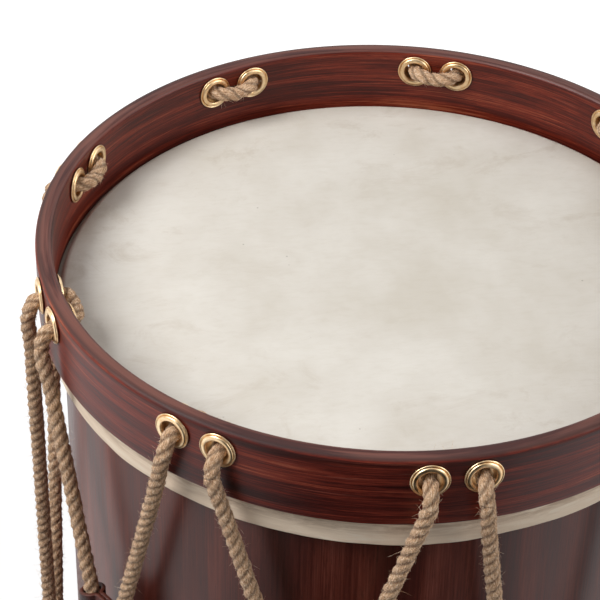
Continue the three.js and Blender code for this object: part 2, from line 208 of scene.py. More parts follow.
def add_node(tree, kind, *inputs, sockets=None, stops=(), output=0, **settings):
    """Adds a shader node. inputs go to its first sockets in turn, and sockets names others; each is
    a value or the output that feeds it. stops are a colour ramp's (place, hex colour) points, and
    settings its properties. Returns one of its outputs, or the node itself where it has none."""
    node = tree.nodes.new("ShaderNode" + kind)
    for name, value in settings.items():
        setattr(node, name, value)
    for key, value in [*enumerate(inputs), *(sockets or {}).items()]:
        if isinstance(value, bpy.types.NodeSocket):
            tree.links.new(value, node.inputs[key])
        else:
            node.inputs[key].default_value = value
    for number, (place, code) in enumerate(stops):
        elements = node.color_ramp.elements
        element = elements[number] if number < 2 else elements.new(place)
        element.position = place
        element.color = linear(code)
    return node.outputs[output] if node.outputs else node


def emptied(owner):
    """A function that adds nodes to a material or world, whose own nodes are cleared away."""
    owner.use_nodes = True
    owner.node_tree.nodes.clear()
    return partial(add_node, owner.node_tree)


def make_material(name, finish_of, **facts):
    """A node material: finish_of adds its pattern with the function it is given and returns what
    goes into the Principled shader's sockets, or a whole shader."""
    material = bpy.data.materials.new(name)
    add = emptied(material)
    finish = finish_of(add, **facts)
    add("OutputMaterial", add("BsdfPrincipled", sockets=finish) if isinstance(finish, dict) else finish)
    return material


def grain_layers(add, place, *layers):
    """One noise pattern for each layer, which gives the sizes of its cells in millimetres along the
    three axes, and its detail, roughness and distortion."""
    for sizes, detail, roughness, distortion in layers:
        cells = add("VectorMath", place, tuple(1 / (size * MM) for size in sizes), operation="MULTIPLY")
        sockets = {"Scale": 1.0, "Detail": detail, "Roughness": roughness, "Distortion": distortion}
        yield add("TexNoise", cells, sockets=sockets)


def round_place(add):
    """Object coordinates, the distance from the drum's axis, and the distance up or down from the
    middle of its height, which is the same on both ends."""
    place = add("TexCoord", output="Object")
    flat = add("VectorMath", place, (1, 1, 0), operation="MULTIPLY")
    radius = add("VectorMath", flat, output="Value", operation="LENGTH")
    off_middle = add("Math", add("SeparateXYZ", place, output="Z"), HEIGHT / 2, operation="SUBTRACT")
    return place, radius, add("Math", off_middle, operation="ABSOLUTE")


def bent_grain(add, place, radius):
    """A place whose first two axes are the drum's and whose third is height plus distance from the
    axis, so that grain drawn thin along it runs round a hoop on its wall and its rim alike."""
    axes = add("SeparateXYZ", place).node.outputs
    return add("CombineXYZ", axes["X"], axes["Y"], add("Math", axes["Z"], radius))


# Materials

def stained_hoop(add):
    """Mahogany-stained bent ash under a thin satin varnish. The stain was wiped round the hoop, so
    it lies in long streaks, light where it was rubbed off and almost black in the pores. The rim is
    handled most: it is dull outside, darker, and worn paler in patches. On the rim there is painted
    shade over its outer rounding, a painted shade line below its outer corner and a painted
    highlight along its inner edge."""
    place, radius, off_middle = round_place(add)
    broad, lines, patches, pores, scratches = grain_layers(
        add, bent_grain(add, place, radius), ((130, 130, 6), 4, 0.6, 0.4), ((48, 48, 0.75), 5, 0.75, 0),
        ((110, 110, 40), 2, 0.5, 0), ((8, 8, 0.4), 2, 0.5, 0), ((38, 38, 0.5), 1, 0.5, 0))
    tone = add("Math", lines, 0.46, operation="MULTIPLY")
    tone = add("Math", broad, 0.36, tone, operation="MULTIPLY_ADD")
    tone = add("Math", patches, 0.18, tone, operation="MULTIPLY_ADD")
    colour = add("ValToRGB", tone, stops=[
        (0.38, "#260503"), (0.47, "#4a1108"), (0.55, "#752716"), (0.65, "#ad5f42")])
    outer = add("MapRange", radius, HOOP_RADIUS - 2 * MM, HOOP_RADIUS - 1 * MM)
    # painted shade: a dark line on the outer wall just below the rim's rounding
    below = add("Math", off_middle, HEIGHT / 2 - 3.4 * MM, 1.4 * MM, operation="COMPARE")
    below = add("Math", below, outer, operation="MULTIPLY")
    rim = add("MapRange", off_middle, HEIGHT / 2 - 1.2 * MM, HEIGHT / 2 - 0.2 * MM)
    worn = add("MapRange", broad, 0.44, 0.58, 0.0, 0.5)
    # painted shade: the rim darkens towards its outer rounding
    outer_rim_shade = add("MapRange", radius, HOOP_RADIUS - 4 * MM, HOOP_RADIUS - 1.5 * MM, 0.0, 0.7)
    # painted highlight: paler along the rim's inner edge
    inner = add("MapRange", radius, HOOP_BORE + 0.5 * MM, HOOP_BORE + 1.6 * MM, 0.55, 0.0)
    for share, code in (
        (add("MapRange", pores, 0.56, 0.7, 0.0, 0.5), "#1c0604"),
        (add("MapRange", scratches, 0.68, 0.78, 0.0, 0.25), "#a06a5b"),
        # painted shade line below the rim's outer corner
        (add("Math", below, 0.55, operation="MULTIPLY"), "#1c0604"),
        (add("Math", rim, 0.75, operation="MULTIPLY"), "#35120d"),
        (add("Math", rim, worn, operation="MULTIPLY"), "#86584c"),
        # painted shade over the rim's outer rounding
        (add("Math", rim, outer_rim_shade, operation="MULTIPLY"), "#240d0b"),
        # painted highlight along the rim's inner edge
        (add("Math", rim, inner, operation="MULTIPLY"), "#9a7066"),
    ):
        colour = add("MixRGB", share, colour, linear(code))
    relief = add("Math", lines, pores, operation="SUBTRACT")
    handled = add("MapRange", off_middle, HEIGHT / 2 - 3.5 * MM, HEIGHT / 2 - 1.5 * MM, 0.0, 0.22)
    handled = add("Math", handled, outer, operation="MULTIPLY")
    return {
        "Base Color": colour,
        "Roughness": add("Math", add("MapRange", lines, 0.3, 0.7, 0.36, 0.48), handled),
        "Specular IOR Level": 0.3,
        "Coat Weight": 0.05,
        "Coat Roughness": 0.3,
        "Normal": add("Bump", sockets={"Height": relief, "Distance": 0.07 * MM, "Strength": 0.6}),
    }


def stained_shell(add):
    """Mahogany-stained veneer with upright grain under satin varnish: fine light and dark lines up
    the shell, and a slow change of tone round it."""
    place = add("TexCoord", output="Object")
    broad, lines, pores = grain_layers(
        add, place, ((26, 26, 240), 4, 0.55, 0), ((0.9, 0.9, 70), 4, 0.6, 0), ((0.6, 0.6, 9), 2, 0.5, 0))
    tone = add("Math", lines, 0.3, 0.1, operation="MULTIPLY_ADD")
    tone = add("Math", broad, 0.5, tone, operation="MULTIPLY_ADD")
    colour = add("ValToRGB", tone, stops=[
        (0.36, "#300f08"), (0.47, "#4a1b12"), (0.54, "#5d281c"), (0.66, "#824538")])
    colour = add("MixRGB", add("MapRange", pores, 0.56, 0.7, 0.0, 0.35), colour, linear("#1e0906"))
    relief = add("Math", lines, pores, operation="SUBTRACT")
    return {
        "Base Color": colour,
        "Roughness": add("MapRange", lines, 0.3, 0.7, 0.3, 0.42),
        "Specular IOR Level": 0.3,
        "Coat Weight": 0.05,
        "Coat Roughness": 0.28,
        "Normal": add("Bump", sockets={"Height": relief, "Distance": 0.04 * MM, "Strength": 0.5}),
    }


def bare_wood(add, base, dark):
    """Unfinished bent hardwood, seen only when the drum is taken apart: fine grain round the ring."""
    place, radius, off_middle = round_place(add)
    lines, = grain_layers(add, bent_grain(add, place, radius), ((60, 60, 0.7), 4, 0.5, 0))
    return {
        "Base Color": add("ValToRGB", lines, stops=[(0.36, dark), (0.62, base)]),
        "Roughness": 0.65,
        "Normal": add("Bump", sockets={"Height": lines, "Distance": 0.1 * MM}),
    }


def calfskin(add):
    """Calfskin, scraped and dried: matt cream with soft clouds, brown smudges, faint veins and tiny
    dark specks of hair root, and painted shade that greys it towards the bearing edge. Where it is
    lapped round the flesh hoop it is yellower and creased, and browner towards the counterhoop:
    glue and soiling, with painted shade under the counterhoop's overhang."""
    place, radius, off_middle = round_place(add)
    clouds, smudges, veins, sparse, crease, fine = grain_layers(
        add, place, ((80, 95, 60), 4, 0.6, 0), ((46, 30, 30), 7, 0.72, 0.8), ((9, 3, 6), 5, 0.65, 0.4),
        ((23, 23, 23), 1, 0.5, 0), ((26, 26, 3), 6, 0.65, 0.9), ((1.2, 1.2, 1.2), 3, 0.5, 0))
    colour = add("ValToRGB", clouds, stops=[(0.34, "#d2cbbf"), (0.5, "#dad4ca"), (0.66, "#e2ddd4")])
    outwards = add("MapRange", radius, 70 * MM, 150 * MM, 0.3, 1.0)
    smudges = add("MapRange", smudges, 0.54, 0.74, 0.0, 0.4)
    roots = add("TexVoronoi", place, sockets={"Scale": 1 / (13 * MM)}, output="Distance")
    sparse = add("MapRange", sparse, 0.5, 0.6, 0.0, 0.4)
    specks = add("Math", roots, 0.04, operation="LESS_THAN")
    lap = add("MapRange", radius, SHELL_RADIUS + 4 * MM, LAP_OUTER - 1.2 * MM)
    # painted shade: the skin greys towards the bearing edge, under the hoop's wall
    edge = add("MapRange", radius, SHELL_RADIUS - 14 * MM, SHELL_RADIUS - 1 * MM, 0.0, 0.35)
    off_lap = add("Math", 1.0, lap, operation="SUBTRACT")
    band_foot, band_top = LAP_FOOT - HEIGHT / 2, LAP_TOP - HEIGHT / 2
    # soiling and painted shade: the band browns towards the counterhoop, partly the shade of its overhang
    soil_and_shade = add("MapRange", off_middle, band_foot + 5 * MM, band_top - 4 * MM, 0.15, 1.0)
    soil_and_shade = add("Math", soil_and_shade, add("MapRange", crease, 0.4, 0.64), operation="MULTIPLY")
    dirt_and_shade = add("Math", soil_and_shade, add("Math", lap, 0.7, operation="MULTIPLY"), operation="MULTIPLY")
    pale = add("MapRange", crease, 0.34, 0.46, 0.4, 0.0)
    for share, code in (
        (add("Math", smudges, outwards, operation="MULTIPLY"), "#a8957c"),
        (add("MapRange", veins, 0.46, 0.72, 0.0, 0.12), "#b7a990"),
        (add("Math", specks, sparse, operation="MULTIPLY"), "#6e6253"),
        # painted shade near the bearing edge
        (add("Math", edge, off_lap, operation="MULTIPLY"), "#a5998a"),
        (add("Math", lap, 0.85, operation="MULTIPLY"), "#f0dac0"),
        # soiling and painted shade under the counterhoop
        (dirt_and_shade, "#8f6c51"),
        (add("Math", pale, lap, operation="MULTIPLY"), "#ece2d2"),
    ):
        colour = add("MixRGB", share, colour, linear(code))
    relief = add("Math", dirt_and_shade, -3.0, fine, operation="MULTIPLY_ADD")
    return {
        "Base Color": colour,
        "Roughness": 0.62,
        "IOR": 1.45,
        "Specular IOR Level": 0.35,
        "Normal": add("Bump", sockets={"Height": relief, "Distance": 0.14 * MM, "Strength": 0.5}),
    }


def rolled_brass(add):
    """Stamped and polished brass gone a little dull: a pale, warm mirror with a handling haze."""
    place = add("TexCoord", output="Object")
    haze, = grain_layers(add, place, ((4, 4, 4), 4, 0.6, 0))
    return {
        "Base Color": add("ValToRGB", haze, stops=[(0.36, "#dfb989"), (0.62, "#f5dab2")]),
        "Metallic": 1.0,
        "Roughness": add("MapRange", haze, 0.3, 0.7, 0.28, 0.38),
    }


def jute_rope(add):
    """Three-strand jute rope: dull matted fibres, pale where they are combed out, and painted shade,
    deep brown, in the pits and between the strands. UV is in millimetres round and along the rope;
    the tufts are drawn 0.9 mm wide, coarser than a fibre, so that they show."""
    uv = add("VectorMath", add("UVMap", uv_map="UVMap"), (MM, MM, MM), operation="MULTIPLY")
    fibres, tufts, pits = grain_layers(
        add, uv, ((0.5, 2.5, 1), 4, 0.75, 0.8), ((1, 1.4, 1), 3, 0.7, 1), ((0.85, 1, 1), 2, 0.6, 0))
    colour = add("ValToRGB", fibres, stops=[(0.36, "#946849"), (0.5, "#dcb38c"), (0.64, "#ffe8cc")])
    groove = add("Attribute", output="Fac", attribute_name="groove")
    for share, code in (
        (add("MapRange", tufts, 0.48, 0.62, 0.0, 0.35), "#ad8462"),
        # painted shade deep in the grooves between the strands
        (add("MapRange", groove, 0.5, 1.0, 0.0, 0.75), "#4a2d19"),
        # painted shade in the fibre pits
        (add("MapRange", pits, 0.56, 0.7, 0.0, 0.65), "#583723"),
    ):
        colour = add("MixRGB", share, colour, linear(code))
    relief = add("Math", fibres, add("Math", tufts, pits, operation="SUBTRACT"))
    return {
        "Base Color": colour,
        "Roughness": 0.9,
        "Specular IOR Level": 0.2,
        "Sheen Weight": 0.12,
        "Sheen Roughness": 0.5,
        "Normal": add("Bump", sockets={"Height": relief, "Distance": 0.5 * MM, "Strength": 1.0}),
    }


def jute_fibre(add):
    """Loose jute fibres that stand off the rope: pale, dry and a little glossy."""
    tone, = grain_layers(add, add("TexCoord", output="Object"), ((2, 2, 2), 1, 0.5, 0))
    return {
        "Base Color": add("ValToRGB", tone, stops=[(0.38, "#b08866"), (0.6, "#f8dfc4")]),
        "Roughness": 0.7,
        "Specular IOR Level": 0.3,
    }


def saddle_leather(add):
    """Vegetable-tanned saddle leather, dyed dark red-brown and waxed: fine pebbled grain, soft
    gloss, and browner burnished edges where the hand slides it."""
    place = add("TexCoord", output="Object")
    pebbles = add("TexVoronoi", place, sockets={"Scale": 1 / (1.1 * MM)}, output="Distance")
    blotch, = grain_layers(add, place, ((12, 12, 12), 4, 0.6, 0))
    colour = add("ValToRGB", blotch, stops=[(0.36, "#1f0806"), (0.52, "#34110c"), (0.66, "#4f2015")])
    edge = add("Attribute", output="Fac", attribute_name="edge")
    colour = add("MixRGB", add("Math", edge, 0.6, operation="MULTIPLY"), colour, linear("#5f3022"))
    return {
        "Base Color": colour,
        "Roughness": add("MapRange", blotch, 0.3, 0.7, 0.42, 0.58),
        "Specular IOR Level": 0.35,
        "Normal": add("Bump", sockets={"Height": add("Math", pebbles, blotch), "Distance": 0.12 * MM}),
    }


def waxed_thread(add):
    """Waxed linen saddler's thread: matt cream with the twist of its plies."""
    plies, = grain_layers(add, add("TexCoord", output="Object"), ((0.5, 0.5, 0.3), 2, 0.5, 0))
    return {
        "Base Color": add("ValToRGB", plies, stops=[(0.35, "#8f7a5c"), (0.65, "#cdb990")]),
        "Roughness": 0.6,
    }


hoop_wood = make_material("stained_ash_hoop", stained_hoop)
shell_wood = make_material("stained_mahogany_shell", stained_shell)
ring_wood = make_material("bare_beech", bare_wood, base="#c49a68", dark="#8f6538")
flesh_hoop_wood = make_material("bare_ash", bare_wood, base="#cdb083", dark="#9c7c4e")
skin = make_material("calfskin", calfskin)
brass = make_material("rolled_brass", rolled_brass)
rope_jute = make_material("jute_rope", jute_rope)
loose_jute = make_material("jute_fibre", jute_fibre)
leather = make_material("saddle_leather", saddle_leather)
thread = make_material("waxed_thread", waxed_thread)


# Mesh helpers

def grid_faces(rows, columns, loop_rows=False, loop_columns=True):
    """Quads of a grid of points, row by row; a looped direction joins its last line to its first."""
    row = np.arange(rows if loop_rows else rows - 1)
    column = np.arange(columns if loop_columns else columns - 1)
    r, c = np.meshgrid(row, column, indexing="ij")
    r_next, c_next = (r + 1) % rows, (c + 1) % columns
    corners = (r * columns + c, r * columns + c_next, r_next * columns + c_next, r_next * columns + c)
    return np.stack(corners, axis=-1).reshape(-1, 4)


def end_fans(count, sides):
    """Triangles that close both ends of a tube of so many points. The two middle points that they
    run to come after the tube's own."""
    first = np.arange(sides)
    last = first + count - sides
    start = np.column_stack([np.roll(first, -1), first, np.full(sides, count)])
    return np.concatenate([start, np.column_stack([last, np.roll(last, -1), np.full(sides, count + 1)])])


def copies(faces, count, each):
    """The faces of so many copies of a shape, each with so many points."""
    starts = np.arange(count)[:, None, None] * each
    return (faces + starts).reshape(-1, faces.shape[1])


def make_mesh(name, points, quads, triangles=None, uv=None, attributes=None, numbers=None):
    """A smooth mesh from arrays: points, quads, triangles, a UV for each face corner, values for
    each point, and the material number of each face."""
    mesh = bpy.data.meshes.new(name)
    corners = [quads.ravel()]
    lengths = [np.full(len(quads), 4)]
    if triangles is not None:
        corners.append(triangles.ravel())
        lengths.append(np.full(len(triangles), 3))
    corners, lengths = np.concatenate(corners), np.concatenate(lengths)
    mesh.vertices.add(len(points))
    mesh.vertices.foreach_set("co", np.asarray(points, np.float32).ravel())
    mesh.loops.add(len(corners))
    mesh.loops.foreach_set("vertex_index", corners.astype(np.int32))
    mesh.polygons.add(len(lengths))
    starts = np.concatenate([[0], np.cumsum(lengths)[:-1]])
    mesh.polygons.foreach_set("loop_start", starts.astype(np.int32))
    mesh.polygons.foreach_set("use_smooth", np.ones(len(lengths), bool))
    if numbers is not None:
        mesh.polygons.foreach_set("material_index", numbers.astype(np.int32))
    if uv is not None:
        layer = mesh.uv_layers.new(name="UVMap")
        layer.data.foreach_set("uv", np.asarray(uv, np.float32).ravel())
    for key, values in (attributes or {}).items():
        attribute = mesh.attributes.new(key, "FLOAT", "POINT")
        attribute.data.foreach_set("value", np.asarray(values, np.float32))
    mesh.update(calc_edges=True)
    return mesh


def linked(name, data):
    """A new object with its data, in the scene."""
    item = bpy.data.objects.new(name, data)
    bpy.context.scene.collection.objects.link(item)
    return item


def add_piece(name, mesh, materials, body, nodes, sharp=None):
    """Puts a finished mesh in the scene as a piece that rides on a body and stands for CAD nodes."""
    if sharp is not None:
        mesh.set_sharp_from_angle(angle=math.radians(sharp))
    for material in materials:
        mesh.materials.append(material)
    piece = linked(name, mesh)
    if body is not None:
        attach(piece, body)
    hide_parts(*nodes)
    return piece


def round_angles(sides):
    """Angles evenly round a circle."""
    return np.arange(sides) * (2 * math.pi / sides)


def outward(mesh):
    """Turns the whole mesh's faces round if its signed volume is negative."""
    mesh.calc_loop_triangles()
    co = np.empty(len(mesh.vertices) * 3, np.float32)
    mesh.vertices.foreach_get("co", co)
    tris = np.empty(len(mesh.loop_triangles) * 3, np.int32)
    mesh.loop_triangles.foreach_get("vertices", tris)
    a, b, c = np.moveaxis(co.reshape(-1, 3)[tris.reshape(-1, 3)].astype(float), 1, 0)
    if np.einsum("ij,ij->i", a, np.cross(b, c)).sum() < 0:
        mesh.flip_normals()
    return mesh


def turned(profile, sides, ripple=None):
    """A profile of (radius, height) points turned about the Z axis. It is closed on itself, or runs
    from axis to axis and gets a fan at each end. ripple(angle, radius, height) gives each point's
    shift in radius and height. Returns points, quads and triangles."""
    profile = np.array(profile)
    on_axis = profile[0, 0] == 0
    body = profile[1:-1] if on_axis else profile
    angle, radius = np.meshgrid(round_angles(sides), body[:, 0])
    height = np.repeat(body[:, 1:2], sides, axis=1)
    if ripple is not None:
        out, up = ripple(angle, radius, height)
        radius, height = radius + out, height + up
    points = np.stack([radius * np.cos(angle), radius * np.sin(angle), height], axis=-1).reshape(-1, 3)
    quads = grid_faces(len(body), sides, loop_rows=not on_axis)
    if not on_axis:
        return points, quads, None
    middles = [[0, 0, profile[0, 1]], [0, 0, profile[-1, 1]]]
    return np.concatenate([points, middles]), quads, end_fans(len(points), sides)


def lathe(name, profile, ripple=None):
    """A mesh of a profile turned about the drum's axis."""
    return outward(make_mesh(name, *turned(profile, LATHE_SIDES, ripple)))


def arc(centre, radius, start, end, steps):
    """Points on a circle from one angle to another, in degrees."""
    turn = np.radians(np.linspace(start, end, steps))
    return np.column_stack([centre[0] + radius * np.cos(turn), centre[1] + radius * np.sin(turn)])


def line(first, last, steps):
    """Points on a straight line, without its last."""
    share = np.linspace(0, 1, steps, endpoint=False)[:, None]
    return np.array(first) * (1 - share) + np.array(last) * share


def eased(share):
    """Shares from 0 to 1 that leave 0 and reach 1 smoothly: three times the square, less twice the
    cube."""
    share = np.clip(share, 0, 1)
    return share * share * (3 - 2 * share)


def direction(azimuth, elevation):
    """The direction away from the drum at an azimuth and elevation in degrees."""
    a, e = math.radians(azimuth), math.radians(elevation)
    return Vector((math.cos(a) * math.cos(e), math.sin(a) * math.cos(e), math.sin(e)))


def waves(angle, counts, sizes, seed):
    """A sum of sine waves round the drum, each with its own count, size and random start."""
    phase = np.random.default_rng(seed).uniform(0, 2 * math.pi, len(counts))
    return sum(size * np.sin(count * angle + p) for count, size, p in zip(counts, sizes, phase))


def other_end(profile):
    """A profile at the drum's other end."""
    profile = np.array(profile)
    profile[:, 1] = HEIGHT - profile[:, 1]
    return profile


def pair_azimuth(pair):
    """The azimuth in degrees of the middle of a pair of top eyelets."""
    return FIRST_PAIR_AZIMUTH + pair * PAIR_PITCH


def v_azimuth(v):
    """The azimuth of a V of the rope and its pair of bottom eyelets, midway between two top pairs."""
    return pair_azimuth(v) + PAIR_PITCH / 2


def eyelet_rows():
    """For each end of the drum: its name, and the height and azimuths of its eyelets."""
    for end, height, middle in (("top", TOP_ROW, pair_azimuth), ("bottom", BOTTOM_ROW, v_azimuth)):
        yield end, height, [middle(n) + side * PAIR_HALF_SPREAD for n in range(PAIRS) for side in (-1, 1)]


def turned_about_z(points, azimuth):
    """Points turned about the drum's axis by an azimuth in degrees."""
    c, s = math.cos(math.radians(azimuth)), math.sin(math.radians(azimuth))
    return points @ np.array([[c, s, 0], [-s, c, 0], [0, 0, 1]])


def along_radius(points, azimuth, height):
    """A turned piece's points with its Z axis laid along the drum's radius at an azimuth and height."""
    return turned_about_z(points[:, [2, 0, 1]] + (0, 0, height), azimuth)


def bored(mesh, azimuths, height, radius, outside, wall):
    """The mesh with round radial holes: rods that overrun its wall by half on both sides are cut away
    from it."""
    start, end = outside - wall / 2 - wall, outside - wall / 2 + wall
    rod, *faces = turned([(0, start), (radius, start), (radius, end), (0, end)], HOLE_SIDES)
    points = np.concatenate([along_radius(rod, azimuth, height) for azimuth in azimuths])
    quads, triangles = [copies(kind, len(azimuths), len(rod)) for kind in faces]
    cutter = linked("cutter", outward(make_mesh("cutter", points, quads, triangles)))
    blank = linked("blank", mesh)
    modifier = blank.modifiers.new("bore", "BOOLEAN")
    modifier.operation = "DIFFERENCE"
    modifier.solver = "EXACT"
    modifier.object = cutter
    graph = bpy.context.evaluated_depsgraph_get()
    result = bpy.data.meshes.new_from_object(blank.evaluated_get(graph))
    result.name = mesh.name
    for item in (cutter, blank):
        bpy.data.objects.remove(item)
    return result


# Camera

def add_camera():
    """The photograph's camera: it looks past the rim's centre, which lies off the picture's middle
    by RIM_CENTRE_OFFSET_PX, and is rolled a little about its line of sight."""
    data = bpy.data.cameras.new("photo_camera")
    data.sensor_width = SENSOR
    data.sensor_fit = "HORIZONTAL"
    data.lens = CAMERA_LENS
    data.clip_start, data.clip_end = CLIP_NEAR, CLIP_FAR
    camera = linked("photo_camera", data)
    away = direction(CAMERA_AZIMUTH, CAMERA_ELEVATION)
    rim_centre = Vector((0, 0, HEIGHT))
    forward = -away
    right = forward.cross(Vector((0, 0, 1))).normalized()
    roll = Matrix.Rotation(math.radians(CAMERA_ROLL), 3, -forward)
    right = roll @ right
    up = right.cross(forward)
    focal_px = CAMERA_LENS / SENSOR * PHOTO_SIZE_PX
    forward = forward * focal_px - right * RIM_CENTRE_OFFSET_PX[0] - up * RIM_CENTRE_OFFSET_PX[1]
    forward.normalize()
    right = (right - forward * right.dot(forward)).normalized()
    up = right.cross(forward)
    turn = Matrix((right, up, -forward)).transposed().to_4x4()
    camera.matrix_world = Matrix.Translation(rim_centre + away * CAMERA_DISTANCE) @ turn
    bpy.context.scene.camera = camera


# Shell, hoops and rings

def add_shell():
    """A turned tube: straight walls with a rounded outer and chamfered inner bearing edge."""
    bore = SHELL_RADIUS - SHELL_WALL
    crest = SHELL_RADIUS - SHELL_CREST
    turn = np.radians(np.linspace(0, 90, 7))
    upper = np.column_stack([crest + SHELL_CREST * np.cos(turn),
                             SHELL_TOP - SHELL_EDGE_ROUND + SHELL_EDGE_ROUND * np.sin(turn)])
    inner_edge = np.array([[crest - SHELL_FLAT, SHELL_TOP], [bore, SHELL_TOP - SHELL_CHAMFER]])
    half = np.concatenate([line((SHELL_RADIUS, HEIGHT / 2), upper[0], 24), upper, inner_edge,
                           line((bore, SHELL_TOP - SHELL_PLAIN_WALL), (bore, HEIGHT / 2), 8)[1:]])
    profile = np.concatenate([half, other_end(half)[::-1][:-1]])

    def ripple(angle, radius, height):
        """The slight waves of a shell that was bent by hand, the same at every height."""
        return waves(angle, *SHELL_WAVES, seed=3), 0 * height

    mesh = lathe("drum_shell", profile, ripple)
    mesh = bored(mesh, [VENT_AZIMUTH], HEIGHT / 2, VENT_BARREL + FLANGE_GAP, SHELL_RADIUS, SHELL_WALL)
    add_piece("drum_shell", mesh, [shell_wood], "drum", ["shell"], sharp=40)


def hoop_profile():
    """A bent hoop's section: straight walls, a bullnosed rim and a lightly eased foot."""
    inner, outer = HOOP_BORE, HOOP_RADIUS
    rim, foot = RIM_ROUND, HOOP_FOOT_ROUND
    low, high = HOOP_UNDERSIDE, HEIGHT
    return np.concatenate([
        line((outer, low + foot), (outer, high - rim), 16),
        arc((outer - rim, high - rim), rim, 0, 90, 8),
        line((outer - rim, high), (inner + rim, high), 4)[1:],
        arc((inner + rim, high - rim), rim, 90, 180, 8),
        line((inner, high - rim), (inner, low + foot), 16)[1:],
        arc((inner + foot, low + foot), foot, 180, 270, 5),
        line((inner + foot, low), (outer - foot, low), 3)[1:],
        arc((outer - foot, low + foot), foot, 270, 360, 5)[:-1],
    ])


def add_counterhoops():
    """The two counterhoops, each bored for its nine pairs of eyelets."""
    for end, height, azimuths in eyelet_rows():
        profile = hoop_profile() if end == "top" else other_end(hoop_profile())
        mesh = bored(lathe(f"{end}_hoop", profile), azimuths, height, HOLE_RADIUS, HOOP_RADIUS, HOOP_WALL)
        add_piece(f"{end}_hoop", mesh, [hoop_wood], "drum", [f"{end}_counterhoop"], sharp=40)


# Skins

def head_profile():
    """A head's section from the axis out: the flat skin, the shoulder over the bearing edge, up to
    the counterhoop, the lap round the flesh hoop with its tucked end, and back along the inside."""
    shoulder = SHELL_RADIUS - SHOULDER_WIDTH
    edge = SHELL_RADIUS + SHOULDER_REACH
    drop = SHOULDER_DROP
    turn = np.radians(np.linspace(90, 0, 8))
    over = np.column_stack([shoulder + (edge - shoulder) * np.cos(turn),
                            HEAD_TOP - drop + drop * np.sin(turn)])
    lap_start = LAP_INNER + 1.5 * SKIN
    soft = LAP_ROUND
    outer_lap = np.concatenate([
        arc((LAP_OUTER - soft, LAP_TOP - soft), soft, 90, 0, 6),
        line((LAP_OUTER, LAP_TOP - soft), (LAP_OUTER, LAP_FOOT + soft), 12)[1:],
        arc((LAP_OUTER - soft, LAP_FOOT + soft), soft, 0, -90, 6),
        arc((LAP_INNER + soft, LAP_FOOT + soft), soft, -90, -180, 6),
    ])
    tuck = np.array([[LAP_INNER, LAP_FOOT + LAP_TUCK], [LAP_INNER + SKIN, LAP_FOOT + LAP_TUCK]])
    inside = np.array([
        [LAP_INNER + SKIN, LAP_FOOT + SKIN + soft / 2],
        [LAP_INNER + SKIN + soft / 2, LAP_FOOT + SKIN],
        [LAP_OUTER - SKIN - soft / 2, LAP_FOOT + SKIN],
        [LAP_OUTER - SKIN, LAP_FOOT + SKIN + soft / 2],
        [LAP_OUTER - SKIN, LAP_TOP - SKIN - soft / 2],
        [LAP_OUTER - SKIN - soft / 2, LAP_TOP - SKIN],
        [lap_start - SKIN / 2, LAP_TOP - SKIN],
        [edge - SKIN, HEAD_TOP - drop],
        [shoulder - SKIN / 2, HEAD_TOP - SKIN],
    ])
    flat = line((0, HEAD_TOP), (shoulder, HEAD_TOP), 72)
    back = line((shoulder - SKIN / 2, HEAD_TOP - SKIN), (0, HEAD_TOP - SKIN), 24)[1:]
    climb = line((edge, HEAD_TOP - drop), (lap_start, LAP_TOP), 3)[1:]
    end = np.array([[0, HEAD_TOP - SKIN]])
    return np.concatenate([flat, over, climb, outer_lap, tuck, inside, back, end])


def head_ripple(seed, up):
    """A function for the lapped band's unevenness at the end whose foot lies down or, with up at
    -1, up."""
    def ripple(angle, radius, height):
        """The band's outside swells in slanted waves and its foot wanders up and down, as wet skin
        dries. The flat skin has neither."""
        above_foot = abs(height - HEIGHT / 2) - (LAP_FOOT - HEIGHT / 2)
        lap = np.clip((radius - SHELL_RADIUS) / LAP_REACH - 1, 0, 1)
        low = 1 - np.clip(above_foot / (LAP_TOP - LAP_FOOT), 0, 1)
        foot = waves(angle, *FOOT_WAVES, seed)
        swell = waves(angle + LAP_TURN_PER_METRE * height, *SWELL_WAVES, seed + 1)
        return lap * (swell - LAP_SET_BACK), up * lap * low * foot
    return ripple


def add_heads():
    """The batter head and, upside down, the bottom head."""
    for end, profile, up, seed in (
        ("batter", head_profile(), 1, 21),
        ("bottom", other_end(head_profile()), -1, 41),
    ):
        mesh = lathe(f"{end}_skin", profile, head_ripple(seed, up))
        add_piece(f"{end}_skin", mesh, [skin], "drum", [f"{end}_head"], sharp=60)


# Eyelets

def eyelet_profile(bore, barrel, flange, inner_face, outer_face):
    """A rolled eyelet's section as (distance along its axis, radius): a barrel, and on each face a
    flat flange with a small bead at its edge, a thin groove, and one broad dome, a superellipse
    from the groove to the bore, that rolls into the throat."""
    turn = np.radians(np.linspace(-90, 100, 9))
    bead = EYELET_BEAD * np.column_stack([1 + np.sin(turn), np.cos(turn) - 1]) + (0, flange)
    groove = flange - EYELET_GROOVE
    across = np.cos(np.linspace(0, math.pi, 22))
    rise = (1 - np.abs(across) ** EYELET_DOME_POWER) ** (1 / EYELET_DOME_POWER)
    dome = np.column_stack([EYELET_BEAD + (EYELET_LIP_HEIGHT - EYELET_BEAD) * rise,
                            (groove + bore) / 2 + (groove - bore) / 2 * across])
    face = np.concatenate([[[0, barrel]], bead, dome])
    return np.concatenate([face + (outer_face, 0), face[::-1] * (-1, 1) + (inner_face, 0)])


def add_eyelet(name, node, azimuth, height, profile):
    """The section turned about a radial line at an azimuth and height."""
    points, quads, _ = turned(profile[:, ::-1], EYELET_SIDES)
    mesh = outward(make_mesh(name, along_radius(points, azimuth, height), quads))
    add_piece(name, mesh, [brass], "drum", [node], sharp=80)


def inner_flange_distance(bore, flange):
    """The distance of a flat flange that lies inside a round bore without touching its wall."""
    return math.sqrt(bore ** 2 - flange ** 2) - FLANGE_GAP


